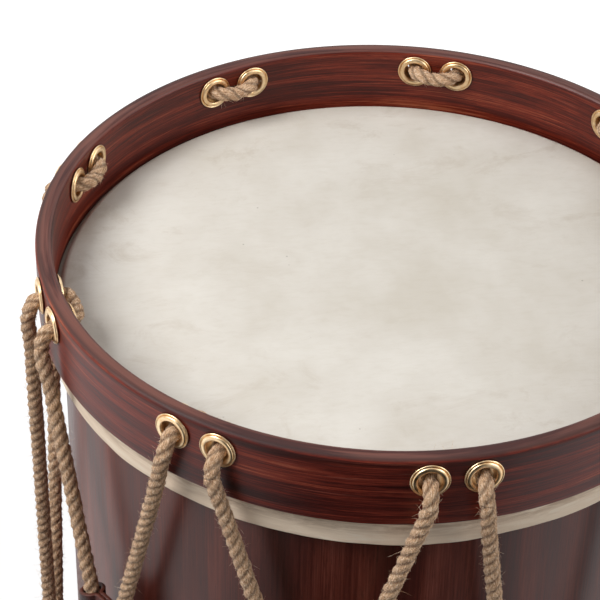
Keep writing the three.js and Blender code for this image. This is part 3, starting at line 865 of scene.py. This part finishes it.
def add_eyelets():
    """A pair of eyelets at each bend of the rope, and the vent's eyelet in the shell."""
    inner = inner_flange_distance(HOOP_BORE, EYELET_FLANGE)
    profile = eyelet_profile(EYELET_BORE, EYELET_BARREL, EYELET_FLANGE, inner, HOOP_RADIUS + FLANGE_GAP)
    for end, height, azimuths in eyelet_rows():
        for number, azimuth in enumerate(azimuths, 1):
            name, node = f"{end}_brass_eyelet_{number:02d}", f"{end}_eyelet_{number:02d}"
            add_eyelet(name, node, azimuth, height, profile)
    inner = inner_flange_distance(SHELL_RADIUS - SHELL_WALL, VENT_FLANGE)
    profile = eyelet_profile(VENT_BORE, VENT_BARREL, VENT_FLANGE, inner, SHELL_RADIUS + FLANGE_GAP)
    add_eyelet("vent_brass_eyelet", "vent_eyelet", VENT_AZIMUTH, HEIGHT / 2, profile)


# Rope route

LEG_TOP = TOP_ROW - ROPE_BEND_DROP
LEG_FOOT = BOTTOM_ROW + ROPE_BEND_DROP
ROPE_DISTANCE = HOOP_RADIUS + ROPE_REACH
TOP_HALF_SPREAD = PAIR_PITCH / 2 - PAIR_HALF_SPREAD
PLANE_TOP = ROPE_DISTANCE * math.cos(math.radians(TOP_HALF_SPREAD))
PLANE_FOOT = ROPE_DISTANCE * math.cos(math.radians(PAIR_HALF_SPREAD))
PLANE_SLOPE = (PLANE_TOP - PLANE_FOOT) / (LEG_TOP - LEG_FOOT)
SLEEVE_OVERLAP = 24 * MM
# Six times a share times what is left of it averages one
DRAW_STRENGTH = 6
tug_top = [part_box(f"tension_tug_{v + 1}")[1].z - TUG_ARCH for v in range(PAIRS)]
tug_foot = [top - TUG_HEIGHT for top in tug_top]
joint_range = {joint["name"]: joint["range_m"] for joint in frame["joints"]}
travel = [joint_range[f"tug_{v + 1}_slide"] for v in range(PAIRS)]


def plane_distance(height):
    """How far out the plane of a V lies at a height."""
    return PLANE_FOOT + PLANE_SLOPE * (height - LEG_FOOT)


def in_plane(v, height):
    """The point at a height on the middle line of a V's plane."""
    distance, facing = plane_distance(height), math.radians(v_azimuth(v))
    return (distance * math.cos(facing), distance * math.sin(facing), height)


def lies_low(v):
    """True for a tug that has more travel above it than below it."""
    low, high = travel[v]
    return high > -low


def polar(radius, azimuth, height):
    """Points at a distance, azimuth in degrees and height, given as numbers or arrays."""
    a = np.radians(azimuth)
    return np.column_stack(np.broadcast_arrays(radius * np.cos(a), radius * np.sin(a), height))


def out_of_hoop(azimuth, height, down):
    """The rope from the middle of an eyelet's bore, where its pull brings it down to the outer lip,
    out over that lip to the start of a leg. down is -1 at the top hoop and 1 at the bottom one."""
    turn = np.radians(np.linspace(0, 90, 14))
    out = HOOP_RADIUS + ROPE_REACH * np.sin(turn)
    seat = height + down * ROPE_SEAT
    fall = seat + down * (ROPE_BEND_DROP - ROPE_SEAT) * (1 - np.cos(turn))
    share = np.linspace(0, 1, 12, endpoint=False)
    bore = polar(HOOP_BORE + HOOP_WALL * share, azimuth, height + (seat - height) * share)
    return np.concatenate([bore, polar(out, azimuth, fall)])


def leg(v, side):
    """A leg of a V from its top eyelet to its foot eyelet. Its sideways place runs straight from the
    eyelet to the tug, through the tug's sleeve and straight on, with its corners smoothed by an
    average over nearby heights. It bulges out a little at both ends, as a bell curve."""
    knees = [LEG_FOOT, tug_foot[v] - TUG_LEAD_IN, tug_top[v] + TUG_LEAD_IN, LEG_TOP]
    gauges = [ROPE_DISTANCE * math.sin(math.radians(PAIR_HALF_SPREAD)), TUG_FOOT_GAUGE, TUG_TOP_GAUGE,
              ROPE_DISTANCE * math.sin(math.radians(TOP_HALF_SPREAD))]
    height = np.arange(LEG_TOP - LEG_STEP, LEG_FOOT, -LEG_STEP)
    shifts = np.linspace(-KNEE_SOFTNESS, KNEE_SOFTNESS, 9)
    spread = np.mean([np.interp(height + shift, knees, gauges) for shift in shifts], axis=0)
    near_top = np.exp(-(((LEG_TOP - height) / ROPE_BULGE_LENGTH) ** 2))
    near_foot = np.exp(-(((height - LEG_FOOT) / ROPE_BULGE_LENGTH) ** 2))
    out = plane_distance(height) + ROPE_BULGE * (near_top + near_foot)
    points = turned_about_z(np.column_stack([out, side * spread, height]), v_azimuth(v))
    top_bend = out_of_hoop(v_azimuth(v) + side * TOP_HALF_SPREAD, TOP_ROW, -1)
    foot_bend = out_of_hoop(v_azimuth(v) + side * PAIR_HALF_SPREAD, BOTTOM_ROW, 1)[::-1]
    return np.concatenate([top_bend, points, foot_bend])


def loop(azimuth, height):
    """The short loop inside a hoop between the eyelets of a pair: a quarter turn in from each
    eyelet, and between them a stretch that sags as a parabola."""
    turn = np.radians(np.linspace(0, 90, 8))
    radius = LOOP_RADIUS + LOOP_BEND - LOOP_BEND * np.sin(turn)
    spread = PAIR_HALF_SPREAD - np.degrees(LOOP_BEND * (1 - np.cos(turn)) / radius)
    enter = polar(radius, azimuth - spread, height)
    leave = polar(radius, azimuth + spread, height)[::-1]
    share = np.linspace(-1, 1, 9)[1:-1]
    across = polar(LOOP_RADIUS, azimuth + spread[-1] * share, height - LOOP_SAG * (1 - share ** 2))
    return np.concatenate([enter, across, leave])


def knot(side):
    """The rope's end inside the bottom hoop, from its eyelet inwards: a helix wound round its own
    line, whose radius rises and falls smoothly, and a short straight tail."""
    share = np.linspace(0, 1, 90)
    swell = KNOT_WIDTH * eased(np.minimum(share, 1 - share) / KNOT_EASE_SHARE)
    angle = share * 2 * math.pi * KNOT_TURNS
    distance = HOOP_BORE - KNOT_GAP - KNOT_LENGTH * share
    rise = BOTTOM_ROW + swell * np.cos(angle) * KNOT_HEIGHT_SHARE
    local = np.column_stack([distance, swell * np.sin(angle), rise])
    tail = local[-1] + np.linspace(0.1, 1, 8)[:, None] * np.array([-KNOT_TAIL, 0, 0])
    return turned_about_z(np.concatenate([local, tail]), v_azimuth(KNOT_V) + side * PAIR_HALF_SPREAD)


def rope_route():
    """The points of the rope's centre line from knot to knot, and the V of each leg in turn."""
    runs, legs = [knot(1)[::-1], leg(KNOT_V, 1)[::-1]], [KNOT_V]
    for step in range(1, PAIRS):
        v = (KNOT_V + step) % PAIRS
        runs += [loop(pair_azimuth(v), TOP_ROW), leg(v, -1)]
        runs += [loop(v_azimuth(v), BOTTOM_ROW), leg(v, 1)[::-1]]
        legs += [v, v]
    runs += [loop(pair_azimuth(KNOT_V), TOP_ROW), leg(KNOT_V, -1), knot(-1)]
    return np.concatenate(runs), [*legs, KNOT_V]


def length_along(points):
    """The distance along a line of points from its first to each of them."""
    return np.concatenate([[0], np.cumsum(np.linalg.norm(np.diff(points, axis=0), axis=1))])


def smoothed(points, spread, step):
    """A line resampled at an even step, with its corners rounded by a bell-shaped average."""
    gaps = np.linalg.norm(np.diff(points, axis=0), axis=1)
    points = points[np.concatenate([[True], gaps > SAME_PLACE])]
    along = length_along(points)
    even = np.arange(0, along[-1], step)
    points = np.column_stack([np.interp(even, along, points[:, axis]) for axis in range(3)])
    reach = int(3 * spread / step)
    weights = np.exp(-0.5 * (np.arange(-reach, reach + 1) * step / spread) ** 2)
    weights /= weights.sum()
    padded = np.pad(points, ((reach, reach), (0, 0)), mode="reflect", reflect_type="odd")
    return np.column_stack([np.convolve(padded[:, axis], weights, mode="valid") for axis in range(3)])


def frames_along(points):
    """A tangent, side and normal at each point, carried along with no twist of their own."""
    tangent = np.gradient(points, axis=0)
    tangent /= np.linalg.norm(tangent, axis=1, keepdims=True)
    side = np.empty_like(points)
    side[0] = np.cross(tangent[0], (0, 0, 1))
    for i in range(1, len(points)):
        side[i] = side[i - 1] - tangent[i] * (side[i - 1] @ tangent[i])
        side[i] /= math.sqrt(side[i] @ side[i])
    side[0] /= np.linalg.norm(side[0])
    return tangent, side, np.cross(tangent, side)


# Rope surface

LOBE_REACH = 0.3
LOBE_RADIUS = 0.72
STRANDS = 3
LUMP_SHARE = 0.05
LUMP_SUM_DIVIDER = 1.7


def rope_section(turn):
    """The rope's outline, in rope radii, at an angle round it: three strands pressed together. Each
    third is the arc of a circle LOBE_REACH out from the middle. Also how deep in a groove it lies."""
    third = 2 * math.pi / STRANDS
    near = (turn + third / 2) % third - third / 2
    outline = LOBE_REACH * np.cos(near) + np.sqrt(LOBE_RADIUS ** 2 - (LOBE_REACH * np.sin(near)) ** 2)
    return outline, np.abs(near) / (third / 2)


def rope_tube(points, side, normal, phase, along):
    """A closed tube round a run of the rope: the section turns with the phase, and each strand is a
    little uneven. Returns points, quads, triangles, corner UVs in millimetres, groove depths, and
    the same points as rings."""
    rings = len(points)
    angle = round_angles(ROPE_SIDES)
    outline, groove = rope_section(angle[None, :] - phase[:, None])
    lump = rng.normal(0, LUMP_SHARE, (rings, ROPE_SIDES))
    lump = (lump + np.roll(lump, 1, axis=1) + np.roll(lump, 1, axis=0)) / LUMP_SUM_DIVIDER
    radius = ROPE_RADIUS * outline * (1 + lump)
    cos, sin = np.cos(angle)[None, :, None], np.sin(angle)[None, :, None]
    surface = points[:, None] + radius[..., None] * (cos * side[:, None] + sin * normal[:, None])
    quads = grid_faces(rings, ROPE_SIDES)
    triangles = end_fans(rings * ROPE_SIDES, ROPE_SIDES)
    r, c = np.meshgrid(np.arange(rings - 1), np.arange(ROPE_SIDES), indexing="ij")
    around = ROPE_RADIUS / MM * 2 * math.pi / ROPE_SIDES
    u = np.stack([c, c + 1, c + 1, c], axis=-1) * around
    w = np.stack([along[r], along[r], along[r + 1], along[r + 1]], axis=-1) / MM
    uv = np.concatenate([np.stack([u, w], axis=-1).reshape(-1, 2), np.zeros((triangles.size, 2))])
    body = np.concatenate([surface.reshape(-1, 3), points[[0, -1]]])
    return body, quads, triangles, uv, np.concatenate([groove.ravel(), [1, 1]]), surface


def fuzz_roots(surface, points, tangent, along, per_mm):
    """Random places on a run of rope, so many to a millimetre of its own length. For each, also the
    outward direction there, a random direction along the surface, and the one across that."""
    count = int((along[-1] - along[0]) / MM * per_mm)
    where = np.interp(rng.uniform(along[0], along[-1], count), along, np.arange(len(along)))
    ring = np.clip(where.astype(int), 0, len(points) - 2)
    column = rng.integers(0, ROPE_SIDES, count)
    base = surface[ring, column]
    beside = surface[ring, (column + 1) % ROPE_SIDES]
    after = surface[ring + 1, column]
    base = base + (beside - base) * rng.random((count, 1)) + (after - base) * rng.random((count, 1))
    out = base - points[ring]
    out /= np.linalg.norm(out, axis=1, keepdims=True)
    ahead = tangent[ring]
    across = np.cross(out, ahead)
    lean = rng.uniform(0, 2 * math.pi, count)[:, None]
    cos, sin = np.cos(lean), np.sin(lean)
    return base, out, cos * ahead + sin * across, cos * across - sin * ahead


# Lengths of fibres are the shape and scale of a gamma distribution
NAP_PER_MM = 10
NAP_WIDTH = 0.13 * MM
NAP_LENGTH = 3, 0.36 * MM
NAP_RISE_SHARES = 0.15, 0.9
HAIRS_PER_MM = 1.4
HAIR_LENGTH = 2.5, 0.95 * MM
HAIR_RISE_SHARES = 0.2, 0.8
HAIR_CURL_SHARE = 0.45
HAIR_ROOT = 0.2 * MM
HAIR_THICK = 0.09 * MM, 0.04 * MM
LOWEST_FIBRE = 0.3 * MM
HAIR_STEPS = 4
HAIR_SIDES = 3


def rope_nap(*run):
    """The rope's nap: straight three-sided spikes of fibre ends that lean out of its surface, each
    from a small triangle to a point. Their lengths are random, from a gamma distribution. Returns
    points and triangles."""
    base, out, flat, aside = fuzz_roots(*run, NAP_PER_MM)
    count = len(base)
    long = rng.gamma(*NAP_LENGTH, count)[:, None]
    rise = rng.uniform(*NAP_RISE_SHARES, count)[:, None]
    tip = base + long * (out * rise + flat * np.sqrt(1 - rise ** 2))
    heel = base - out * NAP_WIDTH
    upright = np.cross(aside, tip - heel)
    upright *= NAP_WIDTH / np.linalg.norm(upright, axis=1, keepdims=True)
    corners = [heel + aside * NAP_WIDTH, heel - aside * NAP_WIDTH, heel + upright, tip]
    triangles = np.array([[0, 1, 3], [1, 2, 3], [2, 0, 3], [2, 1, 0]])
    return np.stack(corners, axis=1).reshape(-1, 3), copies(triangles, count, len(corners))


def rope_hairs(*run):
    """Long loose fibres: thin tapered prisms that lean out of the rope and curl away sideways, more
    with the square of the way along. Returns points, quads and triangles."""
    base, out, flat, aside = fuzz_roots(*run, HAIRS_PER_MM)
    count = len(base)
    long = rng.gamma(*HAIR_LENGTH, count)[:, None]
    rise = long * rng.uniform(*HAIR_RISE_SHARES, count)[:, None]
    curl = long * rng.normal(0, HAIR_CURL_SHARE, count)[:, None]
    spine = []
    for share in np.linspace(0, 1, HAIR_STEPS):
        up = rise * share - HAIR_ROOT * (1 - share)
        spine.append(base + out * up + flat * long * share + aside * curl * share * share)
    spine = np.stack(spine, axis=1)
    spine[..., 2] = np.maximum(spine[..., 2], LOWEST_FIBRE)
    thick = np.linspace(*HAIR_THICK, HAIR_STEPS)
    corner = round_angles(HAIR_SIDES)
    ring = np.cos(corner)[None, :, None] * out[:, None] + np.sin(corner)[None, :, None] * aside[:, None]
    prisms = spine[:, :, None] + thick[None, :, None, None] * ring[:, None]
    each = HAIR_STEPS * HAIR_SIDES
    quads = grid_faces(HAIR_STEPS, HAIR_SIDES)
    caps = np.array([[2, 1, 0], [each - 3, each - 2, each - 1]])
    return prisms.reshape(-1, 3), copies(quads, count, each), copies(caps, count, each)


def rope_mesh(name, spans):
    """One mesh of several runs of rope with their nap and hairs."""
    points, quads, triangles, uv_quads, uv_triangles, grooves = [], [], [], [], [], []
    quad_numbers, triangle_numbers = [], []
    start = 0
    for centre, side, normal, tangent, phase, along in spans:
        tube = rope_tube(centre, side, normal, phase, along)
        body, body_quads, body_triangles, uv, groove, surface = tube
        run = (surface, centre, tangent, along)
        nap, nap_triangles = rope_nap(*run)
        hair, hair_quads, hair_triangles = rope_hairs(*run)
        nap_start = start + len(body)
        hair_start = nap_start + len(nap)
        points += [body, nap, hair]
        quads += [body_quads + start, hair_quads + hair_start]
        triangles += [body_triangles + start, nap_triangles + nap_start, hair_triangles + hair_start]
        loose = len(nap_triangles) + len(hair_triangles)
        uv_quads += [uv[:body_quads.size], np.zeros((hair_quads.size, 2))]
        uv_triangles += [uv[body_quads.size:], np.zeros((loose * 3, 2))]
        grooves += [groove, np.zeros(len(nap) + len(hair))]
        quad_numbers += [np.zeros(len(body_quads)), np.ones(len(hair_quads))]
        triangle_numbers += [np.zeros(len(body_triangles)), np.ones(loose)]
        start = hair_start + len(hair)
    return make_mesh(name, np.concatenate(points), np.concatenate(quads), np.concatenate(triangles),
                     np.concatenate(uv_quads + uv_triangles), {"groove": np.concatenate(grooves)},
                     np.concatenate(quad_numbers + triangle_numbers))


def ring_density(path, legs):
    """How many times closer than usual the rings lie along the rope's path: 1, plus a parabola in
    the lower half of a low tug's sleeve, because the tug's rise draws the rope out there."""
    draw = np.ones(len(path))
    for v, first, last in legs:
        if lies_low(v):
            share = np.clip((path[first:last + 1, 2] - tug_foot[v]) / (TUG_HEIGHT / 2), 0, 1)
            stretch = travel[v][1] / (TUG_HEIGHT / 2)
            draw[first:last + 1] += stretch * DRAW_STRENGTH * share * (1 - share)
    return draw


def rope_spans():
    """The whole rope is laid out as one line from knot to knot, so that its twist runs on from
    piece to piece, and is then parted below each top eyelet, in each tug and above each foot
    eyelet. Returns the passages between legs, and the two spans of each V's lower and upper part.
    A span is its rings' places, side, normal and tangent directions, phases and lengths along."""
    route, order = rope_route()
    path = smoothed(route, ROUTE_SOFTNESS, ROUTE_STEP)
    along = length_along(path)
    print(f"rope length {along[-1]:.3f} m")
    outside = np.hypot(path[:, 0], path[:, 1]) > HOOP_RADIUS
    is_leg = outside & (path[:, 2] < LEG_TOP) & (path[:, 2] > LEG_FOOT)
    edges = np.flatnonzero(np.diff(is_leg.astype(int)))
    legs = list(zip(order, edges[0::2] + 1, edges[1::2]))
    draw = ring_density(path, legs)
    drawn = np.concatenate([[0], np.cumsum(np.diff(along) * (draw[1:] + draw[:-1]) / 2)])
    tangent, side, normal = frames_along(path)

    def take(first, last):
        """A run of rings at even steps of drawn length between two places on the path."""
        steps = max(2, int(round((drawn[last] - drawn[first]) / RING_STEP)))
        at = np.interp(np.linspace(drawn[first], drawn[last], steps + 1), drawn, np.arange(len(drawn)))
        lower = np.clip(at.astype(int), 0, len(drawn) - 2)
        share = (at - lower)[:, None]
        pick = [array[lower] * (1 - share) + array[lower + 1] * share
                for array in (path, side, normal, tangent)]
        for vectors in pick[1:]:
            vectors /= np.linalg.norm(vectors, axis=1, keepdims=True)
        length = np.interp(at, np.arange(len(drawn)), drawn)
        return *pick, 2 * math.pi * length / ROPE_LAY, length

    parts, passages = {}, []
    previous = 0
    for v, first, last in legs:
        z = path[first:last + 1, 2]
        overlap = SLEEVE_OVERLAP if lies_low(v) else TUG_LEAD_IN
        upper_end = first + int(np.abs(z - (tug_top[v] - overlap)).argmin())
        lower_end = first + int(np.abs(z - (tug_top[v] - TUG_LEAD_IN)).argmin())
        ends = [("upper", first, upper_end), ("lower", lower_end, last)]
        if z[0] < z[-1]:
            ends = [("lower", first, lower_end), ("upper", upper_end, last)]
        for part, start, end in ends:
            parts.setdefault((v, part), []).append(take(start, end))
        passages.append(take(previous, first))
        previous = last
    passages.append(take(previous, len(path) - 1))
    return passages, parts


def add_rope_piece(name, spans, body):
    """A piece of rope, which rides on a body, or on none where body is None."""
    mesh = rope_mesh(name, spans)
    return add_piece(name, mesh, [rope_jute, loose_jute], body, ["tension_rope"])


def add_rope():
    """Passages and loops ride on the drum, and so does a leg's upper part where its tug lies low, which
    gets a mesh of its own. A leg's other parts ride on no body, with their places baked into their
    meshes. A leg's hidden rings in a low tug's sleeve lie close, because they are drawn out as the tug
    rises."""
    passages, parts = rope_spans()
    for number, span in enumerate(passages, 1):
        add_rope_piece(f"rope_passage_{number:02d}", [span], "drum")
    for (v, part), spans in parts.items():
        gathers = part == "upper" and lies_low(v)
        piece = add_rope_piece(f"rope_v{v + 1}_{part}", spans, "drum" if gathers else None)
        tug, top = f"tug_{v + 1}", in_plane(v, LEG_TOP)
        if gathers:
            axis = (Vector(top) - Vector(in_plane(v, LEG_FOOT))).normalized()
            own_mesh(piece)
            tuple(top)
        elif part == "upper":
            in_plane(v, tug_top[v])
            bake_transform(piece)
            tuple(top)
        elif lies_low(v):
            sleeve_middle = in_plane(v, tug_foot[v] + TUG_HEIGHT / 2)
            in_plane(v, tug_foot[v])
            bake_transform(piece)
        else:
            in_plane(v, LEG_FOOT)
            in_plane(v, tug_top[v])
            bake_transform(piece)


# Tugs

def tug_strap(gauge):
    """The middle line of a tug's leather, seen from above: round one sleeve, along the sewn web,
    round the other and back. gauge is half the distance between the sleeves' centres. Returns
    sideways and outward places and the outward direction of the leather's face."""
    ring = TUG_SLEEVE + TUG_LEATHER / 2
    layer = TUG_LEATHER / 2 + WEB_GAP
    fillet = TUG_FILLET
    touch_x = math.sqrt((ring + fillet) ** 2 - (layer + fillet) ** 2)
    leave = math.degrees(math.atan2(layer + fillet, touch_x))
    around = arc((0, 0), ring, 180, leave, 22)
    hollow = arc((touch_x, layer + fillet), fillet, 180 + leave, 270, 7)[1:]
    web = line((touch_x, layer), (gauge, layer), 5)[1:]
    quarter = np.concatenate([around, hollow, web])
    quarter[:, 0] -= gauge
    right = quarter[::-1] * (-1, 1)
    front = np.concatenate([quarter, [[0, layer]], right])
    back = front[::-1][1:-1] * (1, -1)
    path = np.concatenate([front, back])
    ahead = np.roll(path, -1, axis=0) - np.roll(path, 1, axis=0)
    ahead /= np.linalg.norm(ahead, axis=1, keepdims=True)
    face = np.column_stack([-ahead[:, 1], ahead[:, 0]])
    return path, face


def tug_gauge(share):
    """Half the distance between a tug's sleeves at a share of its height."""
    return TUG_FOOT_GAUGE + (TUG_TOP_GAUGE - TUG_FOOT_GAUGE) * share


def tug_points():
    """A tug's leather: the strap's line at each height, thickened to both sides, from the straight
    foot edge to the top edge, arched as a cosine, with rounded edges. In the tug's own frame, X is
    sideways, Y outwards from the drum and Z up the plane of the V. Returns rings of points, and 1
    for each ring that lies on an edge, else 0."""
    outer, inner = [], []
    for share in np.linspace(0, 1, TUG_ROWS):
        path, face = tug_strap(tug_gauge(share))
        sideways = np.clip(path[:, 0] / (tug_gauge(share) + TUG_ARCH_REACH), -1, 1)
        arch = TUG_ARCH * np.cos(sideways * math.pi / 2) ** TUG_ARCH_POWER
        z = -TUG_HEIGHT / 2 + share * (TUG_HEIGHT + arch)
        outer.append(np.column_stack([path + face * TUG_LEATHER / 2, z]))
        inner.append(np.column_stack([path - face * TUG_LEATHER / 2, z]))
    outer, inner = np.array(outer), np.array(inner)
    turns = np.radians([30, 60, 90, 120, 150])
    beads = []
    for row, up in ((-1, TUG_EDGE_ROUND), (0, -TUG_EDGE_ROUND)):
        middle = (outer[row] + inner[row]) / 2
        half = (outer[row] - inner[row]) / 2
        beads.append([middle + half * math.cos(t) + np.array([0, 0, up]) * math.sin(t) for t in turns])
    rings = np.concatenate([outer, beads[0], inner[::-1], beads[1][::-1]])
    edge = np.tile(np.repeat([0, 1], (TUG_ROWS, len(turns))), 2)
    return rings, edge


def stitch_points():
    """Saddle stitches on a tug's web: short capsules in a row beside each sleeve, on both faces.
    Each bows out as half a sine wave, and thins towards its ends with that wave's root."""
    share = np.linspace(0, 1, STITCH_STEPS)[:, None]
    swell = np.sin(share * math.pi)
    corner = round_angles(STITCH_SIDES)
    radius = STITCH_RADIUS * (STITCH_END_SHARE + (1 - STITCH_END_SHARE) * np.sqrt(swell))
    points = []
    for side, face, number in itertools.product((-1, 1), (-1, 1), range(STITCHES)):
        z = -TUG_HEIGHT / 2 + STITCH_START + number * STITCH_PITCH + share * STITCH_LENGTH
        x = side * (tug_gauge((z + TUG_HEIGHT / 2) / TUG_HEIGHT) - STITCH_INSET)
        y = face * (TUG_LEATHER + WEB_GAP + STITCH_BOW * swell - STITCH_SINK)
        ring = [x + radius * np.cos(corner), y + radius * np.sin(corner), z + 0 * corner]
        points.append(np.stack(ring, axis=-1).reshape(-1, 3))
    return np.array(points)


def stitch_quads():
    """The faces of one stitch: its side, and three quads across each of its eight-sided ends."""
    last = np.arange(STITCH_SIDES) + (STITCH_STEPS - 1) * STITCH_SIDES
    faces = [grid_faces(STITCH_STEPS, STITCH_SIDES)]
    for cap in (np.arange(STITCH_SIDES)[::-1], last):
        faces.append(np.array([cap[[0, i + 1, i + 2, (i + 3) % STITCH_SIDES]] for i in (0, 2, 4)]))
    return np.concatenate(faces)


def add_tugs():
    """A tug on each V. All have the same leather and stitches, set in the plane of their V, each at
    its own height."""
    rings, edge = tug_points()
    strap = rings.reshape(-1, 3)
    strap_quads = grid_faces(*rings.shape[:2], loop_rows=True)
    stitches = stitch_points()
    sewn_quads = len(strap) + copies(stitch_quads(), *stitches.shape[:2])
    x, y, z = np.concatenate([strap, stitches.reshape(-1, 3)]).T
    quads = np.concatenate([strap_quads, sewn_quads])
    numbers = np.repeat([0, 1], (len(strap_quads), len(sewn_quads)))
    edges = np.concatenate([np.repeat(edge, rings.shape[1]), np.zeros(stitches.size // 3)])
    tilt = math.atan(PLANE_SLOPE)
    c, s = math.cos(tilt), math.sin(tilt)
    for v in range(PAIRS):
        name, tug = f"leather_tug_{v + 1}", f"tug_{v + 1}"
        height = tug_top[v] - TUG_HEIGHT / 2
        place = np.column_stack([plane_distance(height) + y * c + z * s, x, height - y * s + z * c])
        points = turned_about_z(place, v_azimuth(v))
        mesh = outward(make_mesh(name, points, quads, attributes={"edge": edges}, numbers=numbers))
        add_piece(name, mesh, [leather, thread], tug, [f"tension_{tug}"])


def finish_cad_nodes():
    """The wooden rings inside keep their CAD shape and get their wood."""
    for end in ("top", "bottom"):
        for name, material in (("reinforcing_ring", ring_wood), ("flesh_hoop", flesh_hoop_wood)):
            mesh = frame["nodes"][f"{end}_{name}"].data
            mesh.materials.clear()
            mesh.materials.append(material)


# Studio

# Each light's name, azimuth and elevation in degrees, distance, width, and power in watts
LIGHTS = [
    ("key", 192, 47, 1.9, 1.0, 33),
    ("fill", 335, 25, 2.4, 1.4, 24),
    ("overhead", 90, 76, 2.2, 1.8, 5),
]
LIGHT_TARGET = 0.7 * HEIGHT
AMBIENT = 0.17
FLOOR_HALF_WIDTH = 4.0
FLOOR_GLOW_NEAR, FLOOR_GLOW_FAR = 0.66, 1.0
GLOW_FROM, GLOW_TO = 0.4, 1.0
# The flag's azimuths, the degrees over which it fades, and its section as (distance, height)
FLAG_FROM, FLAG_TO = 208, 308
FLAG_FADE = 30
FLAG_STEPS = 60
FLAG_SECTION = [(0.215, 0.002), (2.0, 0.002), (2.3, 0.3), (2.3, 1.4), (1.7, 2.2), (1.0, 2.6)]


def white_for_rays(add, plain, white):
    """A mix of two shaders: white where the camera, a reflection or glass looks, plain elsewhere."""
    rays = add("LightPath").node.outputs
    seen = add("Math", rays["Is Camera Ray"], rays["Is Glossy Ray"], operation="MAXIMUM")
    seen = add("Math", seen, rays["Is Transmission Ray"], operation="MAXIMUM")
    return add("MixShader", seen, plain, white)


def add_light(name, azimuth, elevation, distance, width, power):
    """A square area light that looks at the drum from an azimuth and elevation in degrees."""
    light = bpy.data.lights.new(name, "AREA")
    light.shape = "SQUARE"
    light.size = width
    light.energy = power
    lamp = linked(name, light)
    away = direction(azimuth, elevation)
    turn = away.to_track_quat("Z", "Y").to_matrix().to_4x4()
    lamp.matrix_world = Matrix.Translation(Vector((0, 0, LIGHT_TARGET)) + away * distance) @ turn


def black_flock(add):
    """Black flocked card, which gives nothing back. Its "cover" attribute thins it out to nothing
    towards both ends, so that its reflection has no edge."""
    black = add("BsdfDiffuse", linear("#000000"))
    cover = add("Attribute", output="Fac", attribute_name="cover")
    return add("MixShader", cover, add("BsdfTransparent"), black)


def add_flag():
    """A black card round the front of the drum, that only reflections see: its section lies on the
    floor, stands up and leans over. It keeps the varnish dark at the front, as a dark studio
    behind the camera does."""
    section = np.array(FLAG_SECTION)
    turn, reach = np.meshgrid(np.linspace(FLAG_FROM, FLAG_TO, FLAG_STEPS), section[:, 0])
    height = np.repeat(section[:, 1], FLAG_STEPS)
    points = polar(reach.ravel(), turn.ravel(), height)
    cover = eased(np.minimum(turn - FLAG_FROM, FLAG_TO - turn).ravel() / FLAG_FADE)
    quads = grid_faces(len(section), FLAG_STEPS, loop_columns=False)
    mesh = make_mesh("flag", points, quads, attributes={"cover": cover})
    mesh.materials.append(make_material("black_flock", black_flock))
    flag = linked("flag", mesh)
    flag.visible_camera = flag.visible_diffuse = flag.visible_shadow = False
    flag.visible_transmission = False


def studio_floor(add):
    """Matt grey paint. To the camera, and in reflections, it also glows, more so away from the drum,
    so that it runs into the white behind and keeps only the drum's shadow."""
    paint = add("BsdfDiffuse", linear("#b0b0b0"))
    away = add("VectorMath", add("TexCoord", output="Object"), output="Value", operation="LENGTH")
    strength = add("MapRange", away, GLOW_FROM, GLOW_TO, FLOOR_GLOW_NEAR, FLOOR_GLOW_FAR)
    glow = add("Emission", linear("#ffffff"), strength)
    return white_for_rays(add, paint, add("AddShader", paint, glow))


def add_studio():
    """White surroundings, a pale floor, a black card for reflections, a large soft key light from
    the left, a weak fill from the right and a faint light from above."""
    world = bpy.data.worlds.new("studio")
    bpy.context.scene.world = world
    add = emptied(world)
    plain = add("Background", linear("#ffffff"), AMBIENT)
    white = add("Background", linear("#ffffff"), 1.0)
    add("OutputWorld", white_for_rays(add, plain, white))

    corners = np.array([[-1, -1, 0], [1, -1, 0], [1, 1, 0], [-1, 1, 0]]) * FLOOR_HALF_WIDTH
    mesh = make_mesh("floor", corners, np.array([[0, 1, 2, 3]]))
    mesh.materials.append(make_material("studio_floor", studio_floor))
    linked("floor", mesh)
    add_flag()
    for light in LIGHTS:
        add_light(*light)


add_camera()
add_rope()
add_shell()
add_counterhoops()
add_heads()
add_eyelets()
add_tugs()
finish_cad_nodes()
add_studio()
bpy.context.scene.view_settings.view_transform = "Standard"
